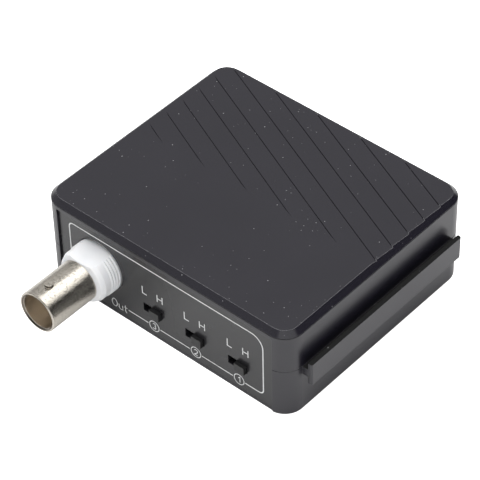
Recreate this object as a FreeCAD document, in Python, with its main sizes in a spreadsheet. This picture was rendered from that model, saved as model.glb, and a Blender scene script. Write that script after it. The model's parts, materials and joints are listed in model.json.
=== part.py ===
import FreeCAD, Part
import Sketcher
import math
import os

# A video balun: a flat plastic box that feeds a camera signal from a twisted pair to a coaxial plug.
# The case is two moulded halves around a slide-in front panel and a slide-in rear panel.
# The coaxial socket and three small slide switches look out at the front, the power and pair
# connectors at the rear. X runs to the right seen from the front, Y to the back, Z up.
# The origin is the middle of the underside.

os.makedirs("parts", exist_ok=True)
doc = FreeCAD.newDocument("video_balun")
sheet = doc.addObject("Spreadsheet::Sheet", "Sizes")
Vector = FreeCAD.Vector
Rotation = FreeCAD.Rotation
Placement = FreeCAD.Placement


class Size:
    """A length that carries its number and the sheet formula behind it."""

    def __init__(self, value, text):
        self.value = float(value)
        self.text = text

    def join(self, other, sign, value):
        return Size(value, "(" + self.text + sign + formula(other) + ")")

    def __add__(self, other):
        return self.join(other, " + ", self.value + number(other))

    def __sub__(self, other):
        return self.join(other, " - ", self.value - number(other))

    def __mul__(self, other):
        return self.join(other, " * ", self.value * number(other))

    def __truediv__(self, other):
        return self.join(other, " / ", self.value / number(other))

    def __radd__(self, other):
        return Size(number(other) + self.value, "(" + formula(other) + " + " + self.text + ")")

    def __rsub__(self, other):
        return Size(number(other) - self.value, "(" + formula(other) + " - " + self.text + ")")

    def __neg__(self):
        return Size(-self.value, "(0 - " + self.text + ")")


def number(v):
    return v.value if isinstance(v, Size) else float(v)


def formula(v):
    return v.text if isinstance(v, Size) else "%.6g" % v


row_of_sheet = [1]


def size(alias, value):
    """Writes one driving dimension into the sheet and hands it back."""
    row = row_of_sheet[0]
    sheet.set("A%d" % row, alias)
    sheet.set("B%d" % row, str(value))
    sheet.setAlias("B%d" % row, alias)
    row_of_sheet[0] = row + 1
    return Size(value, "Sizes." + alias)


# circuit board, its standoffs and the case screws
floor = size("floorThickness", 2.0)
board_lift = size("boardLift", 1.0)
board_thick = size("boardThickness", 1.6)
board_margin = size("boardMargin", 0.5)
boss_inset_x = size("bossInsetX", 3.0)
boss_inset_y = size("bossInsetY", 5.3)
boss_side = size("bossSide", 5.2)
screw_diameter = size("screwDiameter", 2.2)
screw_play = size("screwClearance", 0.7)
screw_length = size("screwLength", 10.0)
head_diameter = size("headDiameter", 4.4)
head_height = size("headHeight", 1.5)
head_play = size("headClearance", 0.2)
cross_width = size("crossWidth", 0.6)
cross_length = size("crossLength", 2.6)
cross_depth = size("crossDepth", 0.8)
pin_thick = size("pinThickness", 0.6)
pin_gap = size("pinFloorGap", 0.3)
# coaxial socket
bnc_block = size("socketBlock", 14.6)
bnc_block_depth = size("socketBlockDepth", 14.0)
bnc_rise = size("socketRise", 6.95)
bnc_gap = size("socketBossGap", 0.3)
bnc_pin_spread = size("socketPinSpread", 4.0)
bnc_pin_inset = size("socketPinInset", 2.5)
neck_diameter = size("neckDiameter", 12.7)
neck_reach = size("neckReach", 6.0)
neck_head = size("neckHeadroom", 3.1)
neck_round = size("neckRound", 1.5)
flat_rise = size("flatRise", 0.12)
ring_pitch = size("ringPitch", 0.75)
ring_depth = size("ringDepth", 0.18)
barrel_diameter = size("barrelDiameter", 9.66)
barrel_reach = size("barrelReach", 12.6)
shank_diameter = size("shankDiameter", 8.6)
shank_length = size("shankLength", 4.5)
mouth_diameter = size("mouthDiameter", 8.12)
mouth_depth = size("mouthDepth", 5.1)
bore_diameter = size("boreDiameter", 7.0)
mouth_lead = size("mouthLeadIn", 0.35)
rim_bevel = size("rimBevel", 0.15)
lug_diameter = size("lugDiameter", 2.0)
lug_height = size("lugHeight", 0.7)
lug_back = size("lugBack", 4.06)
dielectric_diameter = size("dielectricDiameter", 4.8)
dielectric_back = size("dielectricBack", 5.2)
contact_diameter = size("contactDiameter", 2.1)
contact_bore = size("contactBore", 1.35)
contact_depth = size("contactDepth", 6.0)
contact_slit = size("contactSlit", 0.24)
slit_depth = size("slitDepth", 4.2)
press_play = size("pressClearance", 0.04)
# slide switches
frame_length = size("frameLength", 8.6)
frame_height = size("frameHeight", 4.8)
frame_depth = size("frameDepth", 4.4)
frame_sheet = size("frameSheet", 0.35)
frame_lift = size("frameLift", 0.3)
base_thick = size("switchBase", 1.4)
slot_length = size("slotLength", 5.2)
slot_height = size("slotHeight", 2.25)
slot_play = size("slotEndClearance", 0.2)
knob_length = size("knobLength", 2.6)
knob_height = size("knobHeight", 2.05)
knob_reach = size("knobReach", 1.0)
slider_depth = size("sliderDepth", 0.9)
slider_ledge = size("sliderLedge", 0.5)
slider_play = size("sliderClearance", 0.08)
switch_pin_pitch = size("switchPinPitch", 2.4)
switch_gap = size("switchGap", 3.1)
block_gap = size("blockSwitchGap", 3.35)
boss_gap = size("bossSwitchGap", 1.55)
# case walls, bevel and the line under it
side_wall = size("sideWall", 2.2)
end_wall = size("endWall", 3.2)
post_width = size("postWidth", 4.1)
roof = size("roofThickness", 2.0)
case_depth = size("caseDepth", 58.0)
corner_radius = size("cornerRadius", 4.6)
bevel = size("bevelSize", 1.2)
bevel_land = size("bevelLand", 0.05)
shadow_line = size("shadowLine", 0.2)
shadow_inset = size("shadowInset", 0.16)
foot_chamfer = size("footChamfer", 0.4)
joint_chamfer = size("jointChamfer", 0.2)
split_low = size("splitLow", 10.6)
# side rails
web_height = size("railWebHeight", 2.05)
rail_end = size("railEnd", 4.6)
rail_gap = size("railGap", 1.5)
rail_plate = size("railPlate", 1.0)
rail_height = size("railHeight", 5.6)
rail_round = size("railRound", 0.45)
# tongue and rebate between the halves
tongue_thick = size("tongueThickness", 0.9)
tongue_tall = size("tongueHeight", 1.2)
tongue_end = size("tongueEnd", 1.0)
tongue_play = size("tongueClearance", 0.1)
# panels
window_lip = size("windowLip", 1.0)
window_drop = size("windowDrop", 2.3)
panel_recess = size("panelRecess", 0.5)
panel_thick = size("panelThickness", 1.5)
panel_overlap = size("panelOverlap", 0.6)
panel_sink = size("panelSink", 0.3)
panel_play = size("panelClearance", 0.1)
hole_play = size("openingClearance", 0.15)
# stepped lid
step_slant = size("stepSlant", 23.75)
step_pitch = size("stepPitch", 4.83)
step_depth = size("stepDepth", 0.2)
step_phase = size("stepPhase", 1.29)
step_start = size("stepStart", 1.15)
step_margin = size("stepMargin", 2.2)
step_fade = size("stepFade", 2.6)
# power socket
jack_side = size("jackOffsetX", 15.0)
jack_depth = size("jackDepth", 14.0)
jack_bore = size("jackBore", 6.3)
jack_bore_depth = size("jackBoreDepth", 9.5)
jack_rise = size("jackRise", 6.5)
jack_cheek = size("jackCheek", 1.35)
jack_head = size("jackHead", 1.15)
jack_back = size("jackBack", 1.0)
jack_pin_diameter = size("jackPinDiameter", 2.0)
jack_pin_sink = size("jackPinSink", 1.0)
jack_tail_front = size("jackTailFront", 2.1)
jack_tail_rear = size("jackTailRear", 8.4)
jack_tail_side = size("jackTailSide", 3.0)
jack_tail_middle = size("jackTailMiddle", 4.9)
# screw terminal
pair_side = size("terminalOffsetX", 12.0)
pair_depth = size("terminalDepth", 14.0)
pair_pitch = size("terminalPitch", 5.08)
pair_cheek = size("terminalCheek", 0.72)
pair_back = size("terminalBack", 3.0)
entry = size("wireEntry", 3.4)
entry_floor = size("wireEntryFloor", 2.2)
clamp_gap = size("clampGap", 2.0)
clamp_screw = size("clampScrew", 3.6)
clamp_sink = size("clampSink", 2.0)
clamp_slot_depth = size("clampSlotDepth", 0.8)
clamp_slot = size("clampSlot", 0.6)
clamp_top = size("clampTop", 1.65)
cage_wall = size("cageWall", 0.5)
cage_sink = size("cageSink", 3.0)
# lamp
lamp_side = size("lampOffsetX", 3.5)
lamp_rise = size("lampRise", 7.4)
lamp_diameter = size("lampDiameter", 3.0)
lamp_flange = size("lampFlange", 0.3)
lamp_flange_depth = size("lampFlangeDepth", 0.9)
lamp_dome = size("lampDome", 0.9)
lamp_wire = size("lampWire", 0.5)
lamp_pitch = size("lampPitch", 1.28)
lamp_run = size("lampRun", 3.0)
# what stands in a row between the connectors
row_gap = size("rowGap", 1.5)
tube_length = size("tubeLength", 6.0)
tube_diameter = size("tubeDiameter", 5.0)
tube_gap = size("tubeGap", 1.0)
choke_radius = size("chokeRadius", 4.4)
choke_thick = size("chokeThickness", 3.4)
turn_wire = size("turnWire", 0.6)
turn_play = size("turnClearance", 0.06)
chip_length = size("chipLength", 5.0)
chip_width = size("chipWidth", 4.0)
chip_height = size("chipHeight", 1.5)
chip_lift = size("chipLift", 0.15)
lead_reach = size("leadReach", 1.0)
lead_pitch = size("leadPitch", 1.27)
lead_width = size("leadWidth", 0.4)
lead_height = size("leadHeight", 0.8)
can_diameter = size("canDiameter", 5.0)
can_height = size("canHeight", 11.0)
doc.recompute()

# The case is as long as what stands side by side behind its front panel, and as tall as the socket needs.
boss_room = side_wall + boss_inset_x + boss_side / 2
switch_pitch = frame_length + switch_gap
case_length = boss_room * 2 + bnc_gap + bnc_block + block_gap + frame_length + switch_pitch * 2 + boss_gap
half_length = case_length / 2
half_depth = case_depth / 2
board_under = floor + board_lift
board_top = board_under + board_thick
bnc_up = board_top + bnc_rise
bnc_x = boss_room + bnc_gap + bnc_block / 2 - half_length
first_switch = half_length - boss_room - boss_gap - frame_length / 2
switch_x = [first_switch, first_switch - switch_pitch, first_switch - switch_pitch * 2]
slot_up = board_top + frame_lift + frame_height / 2
window_top = bnc_up + neck_diameter / 2 + neck_head
case_height = window_top + window_drop
roof_under = case_height - roof
window_length = case_length - post_width * 2
split_high = split_low + web_height
rail_length = case_depth - rail_end * 2
inner_x = half_length - side_wall
inner_y = half_depth - end_wall
panel_outer = half_depth - panel_recess
panel_inner = panel_outer - panel_thick
behind_panel = panel_inner - panel_play
groove_reach = window_length / 2 + panel_overlap + panel_play
boss_x = inner_x - boss_inset_x
boss_y = inner_y - boss_inset_y
boss_foot = board_top + panel_play
head_sink = head_height + head_play
clearance_hole = screw_diameter + screw_play
pin_foot = floor + pin_gap
neck_front = panel_outer + neck_reach
block_back = behind_panel - bnc_block_depth
bnc_tail = behind_panel - bnc_block_depth / 2
rim = neck_front + barrel_reach
frame_back = behind_panel - frame_depth
jack_inner = panel_outer - jack_depth
pair_inner = panel_outer - pair_depth
row_y = (pair_inner - block_back) / 2
bosses = [(boss_x * sx, boss_y * sy) for sx in (-1, 1) for sy in (-1, 1)]
screw_spots = bosses[1:3]
# cuts run this far past the face that they open
past = 1.0


def bind(obj, prop, v):
    """Ties a property to the sheet, or sets a plain number."""
    if isinstance(v, Size):
        obj.setExpression(prop, v.text)
    else:
        setattr(obj, prop, v)


def place(obj, x=0, y=0, z=0):
    """Puts a sub-part where the sheet says."""
    obj.Placement = Placement(Vector(number(x), number(y), number(z)), Rotation())
    for axis, v in (("x", x), ("y", y), ("z", z)):
        if isinstance(v, Size):
            obj.setExpression("Placement.Base." + axis, v.text)


def new_body(label, x=0, y=0, z=0):
    body = doc.addObject("PartDesign::Body", label)
    body.Label = label
    place(body, x, y, z)
    return body


def sketch_on(body, name, plane, lift=0):
    """A sketch on one of the body's own origin planes, lifted along the plane's normal."""
    sketch = body.newObject("Sketcher::SketchObject", name)
    base = [f for f in body.Origin.OriginFeatures if f.Role == plane][0]
    sketch.AttachmentSupport = [(base, "")]
    sketch.MapMode = "FlatFace"
    sketch.AttachmentOffset = Placement(Vector(0, 0, number(lift)), Rotation())
    if isinstance(lift, Size):
        sketch.setExpression("AttachmentOffset.Base.z", lift.text)
    return sketch


def fix_coordinate(sketch, kind, curve, point, v):
    """Holds one coordinate of a sketch point, measured from the sketch's origin."""
    if abs(number(v)) < 1e-9:
        axis = -2 if kind == "DistanceX" else -1
        sketch.addConstraint(Sketcher.Constraint("PointOnObject", curve, point, axis))
        return
    if number(v) > 0:
        index = sketch.addConstraint(Sketcher.Constraint(kind, -1, 1, curve, point, number(v)))
        text = formula(v)
    else:
        index = sketch.addConstraint(Sketcher.Constraint(kind, curve, point, -1, 1, -number(v)))
        text = "0 - " + formula(v)
    if isinstance(v, Size):
        sketch.setExpression("Constraints[%d]" % index, text)


def draw_rectangle(sketch, x0, y0, x1, y1):
    corners = [(x0, y0), (x1, y0), (x1, y1), (x0, y1)]
    spots = [Vector(number(x), number(y), 0) for x, y in corners]
    lines = [sketch.addGeometry(Part.LineSegment(spots[i], spots[(i + 1) % 4]), False) for i in range(4)]
    for i in range(4):
        sketch.addConstraint(Sketcher.Constraint("Coincident", lines[i], 2, lines[(i + 1) % 4], 1))
        turn = "Horizontal" if i % 2 == 0 else "Vertical"
        sketch.addConstraint(Sketcher.Constraint(turn, lines[i]))
    fix_coordinate(sketch, "DistanceX", lines[0], 1, x0)
    fix_coordinate(sketch, "DistanceY", lines[0], 1, y0)
    fix_coordinate(sketch, "DistanceX", lines[1], 2, x1)
    fix_coordinate(sketch, "DistanceY", lines[1], 2, y1)


def draw_polygon(sketch, points):
    spots = [Vector(number(x), number(y), 0) for x, y in points]
    count = len(spots)
    lines = [sketch.addGeometry(Part.LineSegment(spots[i], spots[(i + 1) % count]), False)
             for i in range(count)]
    for i in range(count):
        sketch.addConstraint(Sketcher.Constraint("Coincident", lines[i], 2, lines[(i + 1) % count], 1))
    for i, (x, y) in enumerate(points):
        fix_coordinate(sketch, "DistanceX", lines[i], 1, x)
        fix_coordinate(sketch, "DistanceY", lines[i], 1, y)


def draw_circle(sketch, x, y, diameter):
    centre = Vector(number(x), number(y), 0)
    ring = sketch.addGeometry(Part.Circle(centre, Vector(0, 0, 1), number(diameter) / 2), False)
    fix_coordinate(sketch, "DistanceX", ring, 3, x)
    fix_coordinate(sketch, "DistanceY", ring, 3, y)
    index = sketch.addConstraint(Sketcher.Constraint("Diameter", ring, number(diameter)))
    if isinstance(diameter, Size):
        sketch.setExpression("Constraints[%d]" % index, diameter.text)


def draw_rounded(sketch, length, width, radius):
    """A rectangle with round corners about the sketch's origin."""
    half_x = length / 2 - radius
    half_y = width / 2 - radius
    turns = [(1, 1, 0), (-1, 1, 90), (-1, -1, 180), (1, -1, 270)]
    arcs = []
    for sx, sy, start in turns:
        centre = Vector(sx * number(half_x), sy * number(half_y), 0)
        round_part = Part.ArcOfCircle(Part.Circle(centre, Vector(0, 0, 1), number(radius)),
                                      math.radians(start), math.radians(start + 90))
        arcs.append(sketch.addGeometry(round_part, False))
    lines = []
    for i in range(4):
        a = sketch.getPoint(arcs[i], 2)
        b = sketch.getPoint(arcs[(i + 1) % 4], 1)
        lines.append(sketch.addGeometry(Part.LineSegment(a, b), False))
    for i, (sx, sy, start) in enumerate(turns):
        sketch.addConstraint(Sketcher.Constraint("Tangent", arcs[i], 2, lines[i], 1))
        sketch.addConstraint(Sketcher.Constraint("Tangent", lines[i], 2, arcs[(i + 1) % 4], 1))
        fix_coordinate(sketch, "DistanceX", arcs[i], 3, half_x if sx > 0 else -half_x)
        fix_coordinate(sketch, "DistanceY", arcs[i], 3, half_y if sy > 0 else -half_y)
    index = sketch.addConstraint(Sketcher.Constraint("Radius", arcs[0], number(radius)))
    if isinstance(radius, Size):
        sketch.setExpression("Constraints[%d]" % index, radius.text)


def pad(body, sketch, length, reverse=False, middle=False):
    feature = body.newObject("PartDesign::Pad", sketch.Name + "_pad")
    feature.Profile = sketch
    feature.Length = number(length)
    bind(feature, "Length", length)
    feature.Reversed = reverse
    feature.SideType = "Symmetric" if middle else "One side"
    doc.recompute()
    return feature


def pocket(body, sketch, length, reverse=False, middle=False):
    """Cuts a sketch out of the body and makes sure that something was cut."""
    before = body.Shape.Volume
    feature = body.newObject("PartDesign::Pocket", sketch.Name + "_pocket")
    feature.Profile = sketch
    feature.Length = number(length)
    bind(feature, "Length", length)
    feature.Reversed = reverse
    feature.SideType = "Symmetric" if middle else "One side"
    doc.recompute()
    if body.Shape.Volume > before - 1e-4:
        raise RuntimeError("nothing was cut by " + feature.Name)
    return feature


def revolve(body, sketch, axis, kind="Revolution"):
    """Turns a half profile about one of the sketch's own axes, to add or, as a Groove, to cut."""
    feature = body.newObject("PartDesign::" + kind, sketch.Name + "_turned")
    feature.Profile = sketch
    feature.ReferenceAxis = (sketch, [axis])
    feature.Angle = 360.0
    doc.recompute()
    return feature


def edges_where(shape, test):
    names = []
    for i, edge in enumerate(shape.Edges):
        if test(edge):
            names.append("Edge%d" % (i + 1))
    return names


def dress(body, kind, amount, test):
    """Rounds or bevels the edges that a test picks."""
    base = body.Tip
    names = edges_where(base.Shape, test)
    if not names:
        raise RuntimeError("no edge to dress on " + body.Name)
    feature = body.newObject("PartDesign::" + kind, body.Name + "_" + kind.lower() + "_%d" % len(body.Group))
    feature.Base = (base, names)
    prop = "Radius" if kind == "Fillet" else "Size"
    setattr(feature, prop, number(amount))
    bind(feature, prop, amount)
    doc.recompute()
    return feature


def flat_at(edge, axis, level, slack=1e-4):
    """True for an edge that lies at one level along an axis."""
    box = edge.BoundBox
    low, high = {"x": (box.XMin, box.XMax), "y": (box.YMin, box.YMax), "z": (box.ZMin, box.ZMax)}[axis]
    return abs(low - level) < slack and abs(high - level) < slack


def make_box(label, x0, x1, y0, y1, z0, z1):
    """A plain block between named limits."""
    block = doc.addObject("Part::Box", label)
    block.Label = label
    for prop, low, high in (("Length", x0, x1), ("Width", y0, y1), ("Height", z0, z1)):
        span = high - low if isinstance(high, Size) else Size(number(high), formula(high)) - low
        setattr(block, prop, span.value)
        block.setExpression(prop, span.text)
    place(block, x0, y0, z0)
    return block


def make_rod(label, x, y, z, diameter, length):
    """A plain cylinder that starts at a point and lies along X."""
    rod = doc.addObject("Part::Cylinder", label)
    rod.Label = label
    rod.Radius = number(diameter) / 2
    if isinstance(diameter, Size):
        rod.setExpression("Radius", (diameter / 2).text)
    rod.Height = number(length)
    bind(rod, "Height", length)
    place(rod, x, y, z)
    rod.Placement = Placement(rod.Placement.Base, Rotation(Vector(0, 1, 0), 90))
    return rod


def group(label, members):
    """Several separate solids that share one name."""
    together = doc.addObject("Part::Compound", label)
    together.Label = label
    together.Links = members
    return together


def cut(label, base, tool):
    result = doc.addObject("Part::Cut", label)
    result.Label = label
    result.Base = base
    result.Tool = tool
    return result


parts = []


def mirrored(sign, x0, z0, x1, z1):
    """A rectangle's corners, on the left side when the sign asks for it."""
    if sign > 0:
        return x0, z0, x1, z1
    return -x1, z0, -x0, z1


def add_rail(body, side):
    """The T-shaped rail along one side: a short web that carries an upright plate."""
    sign = -1 if side == "left" else 1
    plate_in = half_length + rail_gap
    plate_out = plate_in + rail_plate
    middle = split_low + web_height / 2
    sketch = sketch_on(body, "rail_web_" + side, "XZ_Plane")
    draw_rectangle(sketch, *mirrored(sign, half_length - side_wall / 2, split_low,
                                     plate_in + rail_plate / 2, split_low + web_height))
    pad(body, sketch, rail_length, middle=True)
    sketch = sketch_on(body, "rail_plate_" + side, "XZ_Plane")
    draw_rectangle(sketch, *mirrored(sign, plate_in, middle - rail_height / 2,
                                     plate_out, middle + rail_height / 2))
    pad(body, sketch, rail_length, middle=True)
    outer = sign * number(plate_out)
    tall = number(rail_height) + 0.01
    dress(body, "Fillet", rail_round, lambda e: flat_at(e, "x", outer) and e.Length < tall)


def cut_grooves(body, name, lift, height):
    """Slots that hold the edges of the front and rear panels."""
    sketch = sketch_on(body, name, "XY_Plane", lift)
    draw_rectangle(sketch, -groove_reach, -panel_outer, groove_reach, -behind_panel)
    draw_rectangle(sketch, -groove_reach, behind_panel, groove_reach, panel_outer)
    pocket(body, sketch, height, reverse=True)


def draw_bosses(sketch):
    """Four square posts, one near each corner."""
    for x, y in bosses:
        draw_rectangle(sketch, x - boss_side / 2, y - boss_side / 2, x + boss_side / 2, y + boss_side / 2)


def draw_screw_holes(sketch, diameter):
    """Round holes through the two posts on the diagonal that take the case screws."""
    for x, y in screw_spots:
        draw_circle(sketch, x, y, diameter)


def build_upper_shell():
    """The lid with its walls, down to the joint line."""
    body = new_body("upper_shell_body")
    lid_foot = case_height - bevel - bevel_land
    line_foot = lid_foot - shadow_line
    sketch = sketch_on(body, "upper_walls", "XY_Plane", split_low)
    draw_rounded(sketch, case_length, case_depth, corner_radius)
    pad(body, sketch, line_foot - split_low)
    sketch = sketch_on(body, "upper_shadow_line", "XY_Plane", line_foot)
    draw_rounded(sketch, case_length - shadow_inset * 2, case_depth - shadow_inset * 2,
                 corner_radius - shadow_inset)
    pad(body, sketch, shadow_line)
    sketch = sketch_on(body, "upper_lid", "XY_Plane", lid_foot)
    draw_rounded(sketch, case_length, case_depth, corner_radius)
    pad(body, sketch, bevel + bevel_land)
    dress(body, "Chamfer", bevel, lambda e: flat_at(e, "z", number(case_height)))
    sketch = sketch_on(body, "upper_cavity", "XY_Plane", split_low)
    draw_rectangle(sketch, -inner_x, -inner_y, inner_x, inner_y)
    pocket(body, sketch, roof_under - split_low, reverse=True)
    # the joint line is lower on the left than on the right, because each half carries one rail
    sketch = sketch_on(body, "upper_joint_step", "XY_Plane", split_low)
    draw_rectangle(sketch, 0, -half_depth - past, half_length + past, half_depth + past)
    pocket(body, sketch, web_height, reverse=True)
    sketch = sketch_on(body, "upper_windows", "XZ_Plane")
    draw_rectangle(sketch, -window_length / 2, split_low - past, window_length / 2, window_top)
    pocket(body, sketch, case_depth + past, middle=True)
    cut_grooves(body, "upper_grooves", split_low, window_top + panel_overlap + panel_play - split_low)
    # rebates for the tongues of the lower half
    rebate_end = inner_y - tongue_end + tongue_play
    rebate_wall = inner_x + tongue_thick + tongue_play
    for side, sign, level in (("left", -1, split_low), ("right", 1, split_high)):
        sketch = sketch_on(body, "upper_rebate_" + side, "XY_Plane", level)
        draw_rectangle(sketch, *mirrored(sign, inner_x - past, -rebate_end, rebate_wall, rebate_end))
        pocket(body, sketch, tongue_tall + tongue_play, reverse=True)
    add_rail(body, "left")
    # four bosses that hold the board down; the case screws bite into two of them
    sketch = sketch_on(body, "upper_bosses", "XY_Plane", boss_foot)
    draw_bosses(sketch)
    pad(body, sketch, roof_under + roof / 2 - boss_foot)
    sketch = sketch_on(body, "upper_pilots", "XY_Plane", boss_foot)
    draw_screw_holes(sketch, screw_diameter + press_play * 2)
    pocket(body, sketch, screw_length, reverse=True)
    return body


def build_lid_steps():
    """Shallow slanting steps on the lid: each facet sinks towards the riser of the next one."""
    top = case_height + past
    far = half_depth + past
    deep = case_height - step_depth * 2
    teeth = new_body("lid_step_teeth")
    teeth.Placement = Placement(Vector(0, 0, 0), Rotation(Vector(0, 0, -1), number(step_slant)))
    teeth.setExpression("Placement.Rotation.Angle", step_slant.text + " * 1 deg")
    sketch = sketch_on(teeth, "step_profile", "YZ_Plane")
    first, last = -3, 8
    points = [(step_pitch * first - step_phase, top)]
    for k in range(first, last + 1):
        points.append((step_pitch * k - step_phase, case_height))
        points.append((step_pitch * (k + 1) - step_phase, case_height - step_depth))
    points.append((step_pitch * (last + 1) - step_phase, top))
    draw_polygon(sketch, points)
    pad(teeth, sketch, case_length * 2, middle=True)
    # two ramps let the steps fade out towards the front half and the left edge
    ramp_front = new_body("lid_ramp_front")
    sketch = sketch_on(ramp_front, "ramp_front_profile", "YZ_Plane")
    start = -step_start
    draw_polygon(sketch, [(start, case_height), (start + step_fade, deep), (far, deep), (far, top), (start, top)])
    pad(ramp_front, sketch, case_length * 2, middle=True)
    ramp_left = new_body("lid_ramp_left")
    sketch = sketch_on(ramp_left, "ramp_left_profile", "XZ_Plane")
    start = step_margin - half_length
    far = half_length + past
    draw_polygon(sketch, [(start, case_height), (start + step_fade, deep), (far, deep), (far, top), (start, top)])
    pad(ramp_left, sketch, case_depth * 2, middle=True)
    faded = doc.addObject("Part::MultiCommon", "lid_step_cutter")
    faded.Shapes = [teeth, ramp_front, ramp_left]
    return faded


def build_lower_shell():
    """The tray with its walls, up to the joint line."""
    body = new_body("lower_shell")
    sketch = sketch_on(body, "lower_walls", "XY_Plane")
    draw_rounded(sketch, case_length, case_depth, corner_radius)
    pad(body, sketch, split_high)
    dress(body, "Chamfer", foot_chamfer, lambda e: flat_at(e, "z", 0))
    sketch = sketch_on(body, "lower_joint_step", "XY_Plane", split_low)
    draw_rectangle(sketch, -half_length - past, -half_depth - past, 0, half_depth + past)
    pocket(body, sketch, web_height + past, reverse=True)
    # the bevelled rim under the joint is what shows as a dark line between the halves
    levels = (number(split_low), number(split_high))
    dress(body, "Chamfer", joint_chamfer,
          lambda e: any(flat_at(e, "z", level) for level in levels) and not flat_at(e, "x", 0))
    sketch = sketch_on(body, "lower_cavity", "XY_Plane", floor)
    draw_rectangle(sketch, -inner_x, -inner_y, inner_x, inner_y)
    pocket(body, sketch, split_high, reverse=True)
    sketch = sketch_on(body, "lower_windows", "XY_Plane", window_lip)
    half_window = window_length / 2
    draw_rectangle(sketch, -half_window, -half_depth - past, half_window, -inner_y)
    draw_rectangle(sketch, -half_window, inner_y, half_window, half_depth + past)
    pocket(body, sketch, split_high, reverse=True)
    # under the panels the floor ends flush with their faces
    sketch = sketch_on(body, "lower_sills", "XY_Plane")
    draw_rectangle(sketch, -half_window, -half_depth - past, half_window, -panel_outer)
    draw_rectangle(sketch, -half_window, panel_outer, half_window, half_depth + past)
    pocket(body, sketch, window_lip + past, reverse=True)
    cut_grooves(body, "lower_grooves", window_lip - panel_sink, split_high)
    add_rail(body, "right")
    tongue_far = inner_y - tongue_end
    for side, sign, level in (("left", -1, split_low), ("right", 1, split_high)):
        sketch = sketch_on(body, "lower_tongue_" + side, "XY_Plane", level)
        draw_rectangle(sketch, *mirrored(sign, inner_x, -tongue_far, inner_x + tongue_thick, tongue_far))
        pad(body, sketch, tongue_tall)
    # standoffs under the board, drilled for the screws and sunk for their heads
    sketch = sketch_on(body, "lower_standoffs", "XY_Plane", floor / 2)
    draw_bosses(sketch)
    pad(body, sketch, board_under - floor / 2)
    sketch = sketch_on(body, "lower_screw_holes", "XY_Plane")
    draw_screw_holes(sketch, clearance_hole)
    pocket(body, sketch, board_under + past, reverse=True)
    sketch = sketch_on(body, "lower_head_sinks", "XY_Plane")
    draw_screw_holes(sketch, head_diameter + head_play * 2)
    pocket(body, sketch, head_sink, reverse=True)
    return body


def panel_blank(label, face):
    """A flat panel that slides in the grooves; face is where its front side lies."""
    body = new_body(label)
    reach = window_length / 2 + panel_overlap
    sketch = sketch_on(body, label + "_outline", "XZ_Plane", face)
    draw_rectangle(sketch, -reach, window_lip - panel_sink + panel_play, reach, window_top + panel_overlap)
    pad(body, sketch, panel_thick)
    return body


def draw_opening(sketch, x, low, width, height):
    """A rectangular opening with clearance around what passes through it."""
    draw_rectangle(sketch, x - width / 2 - hole_play, low - hole_play,
                   x + width / 2 + hole_play, low + height + hole_play)


def build_front_panel():
    body = panel_blank("front_panel", panel_inner)
    sketch = sketch_on(body, "front_openings", "XZ_Plane", panel_outer)
    draw_circle(sketch, bnc_x, bnc_up, neck_diameter + hole_play * 2)
    for x in switch_x:
        draw_rectangle(sketch, x - slot_length / 2, slot_up - slot_height / 2,
                       x + slot_length / 2, slot_up + slot_height / 2)
    pocket(body, sketch, panel_thick * 4, middle=True)
    return body


def build_rear_panel():
    body = panel_blank("rear_panel", -panel_outer)
    sketch = sketch_on(body, "rear_openings", "XZ_Plane", -panel_outer)
    draw_opening(sketch, jack_side, board_top, jack_width, jack_height)
    draw_opening(sketch, -pair_side, board_top, pair_width, pair_height)
    draw_circle(sketch, lamp_side, board_top + lamp_rise, lamp_diameter + hole_play * 2)
    pocket(body, sketch, panel_thick * 4, middle=True)
    return body


def build_board(pin_spots):
    """The board with its screw holes and a square hole for every pin."""
    body = new_body("circuit_board")
    reach_x = inner_x - board_margin
    reach_y = inner_y - board_margin
    sketch = sketch_on(body, "board_outline", "XY_Plane", board_under)
    draw_rectangle(sketch, -reach_x, -reach_y, reach_x, reach_y)
    draw_screw_holes(sketch, clearance_hole)
    pad(body, sketch, board_thick)
    sketch = sketch_on(body, "board_pin_holes", "XY_Plane", board_under)
    reach = pin_thick / 2 + panel_play
    for x, y in pin_spots:
        draw_rectangle(sketch, x - reach, y - reach, x + reach, y + reach)
    pocket(body, sketch, board_thick + past, reverse=True)
    return body


def board_pins(label, spots, top):
    """Square solder pins that stand through the board."""
    pins = []
    for i, (x, y) in enumerate(spots):
        pins.append(make_box("%s_%d" % (label, i + 1), x - pin_thick / 2, x + pin_thick / 2,
                             y - pin_thick / 2, y + pin_thick / 2, pin_foot, top))
    return group(label + "s", pins)


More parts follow.
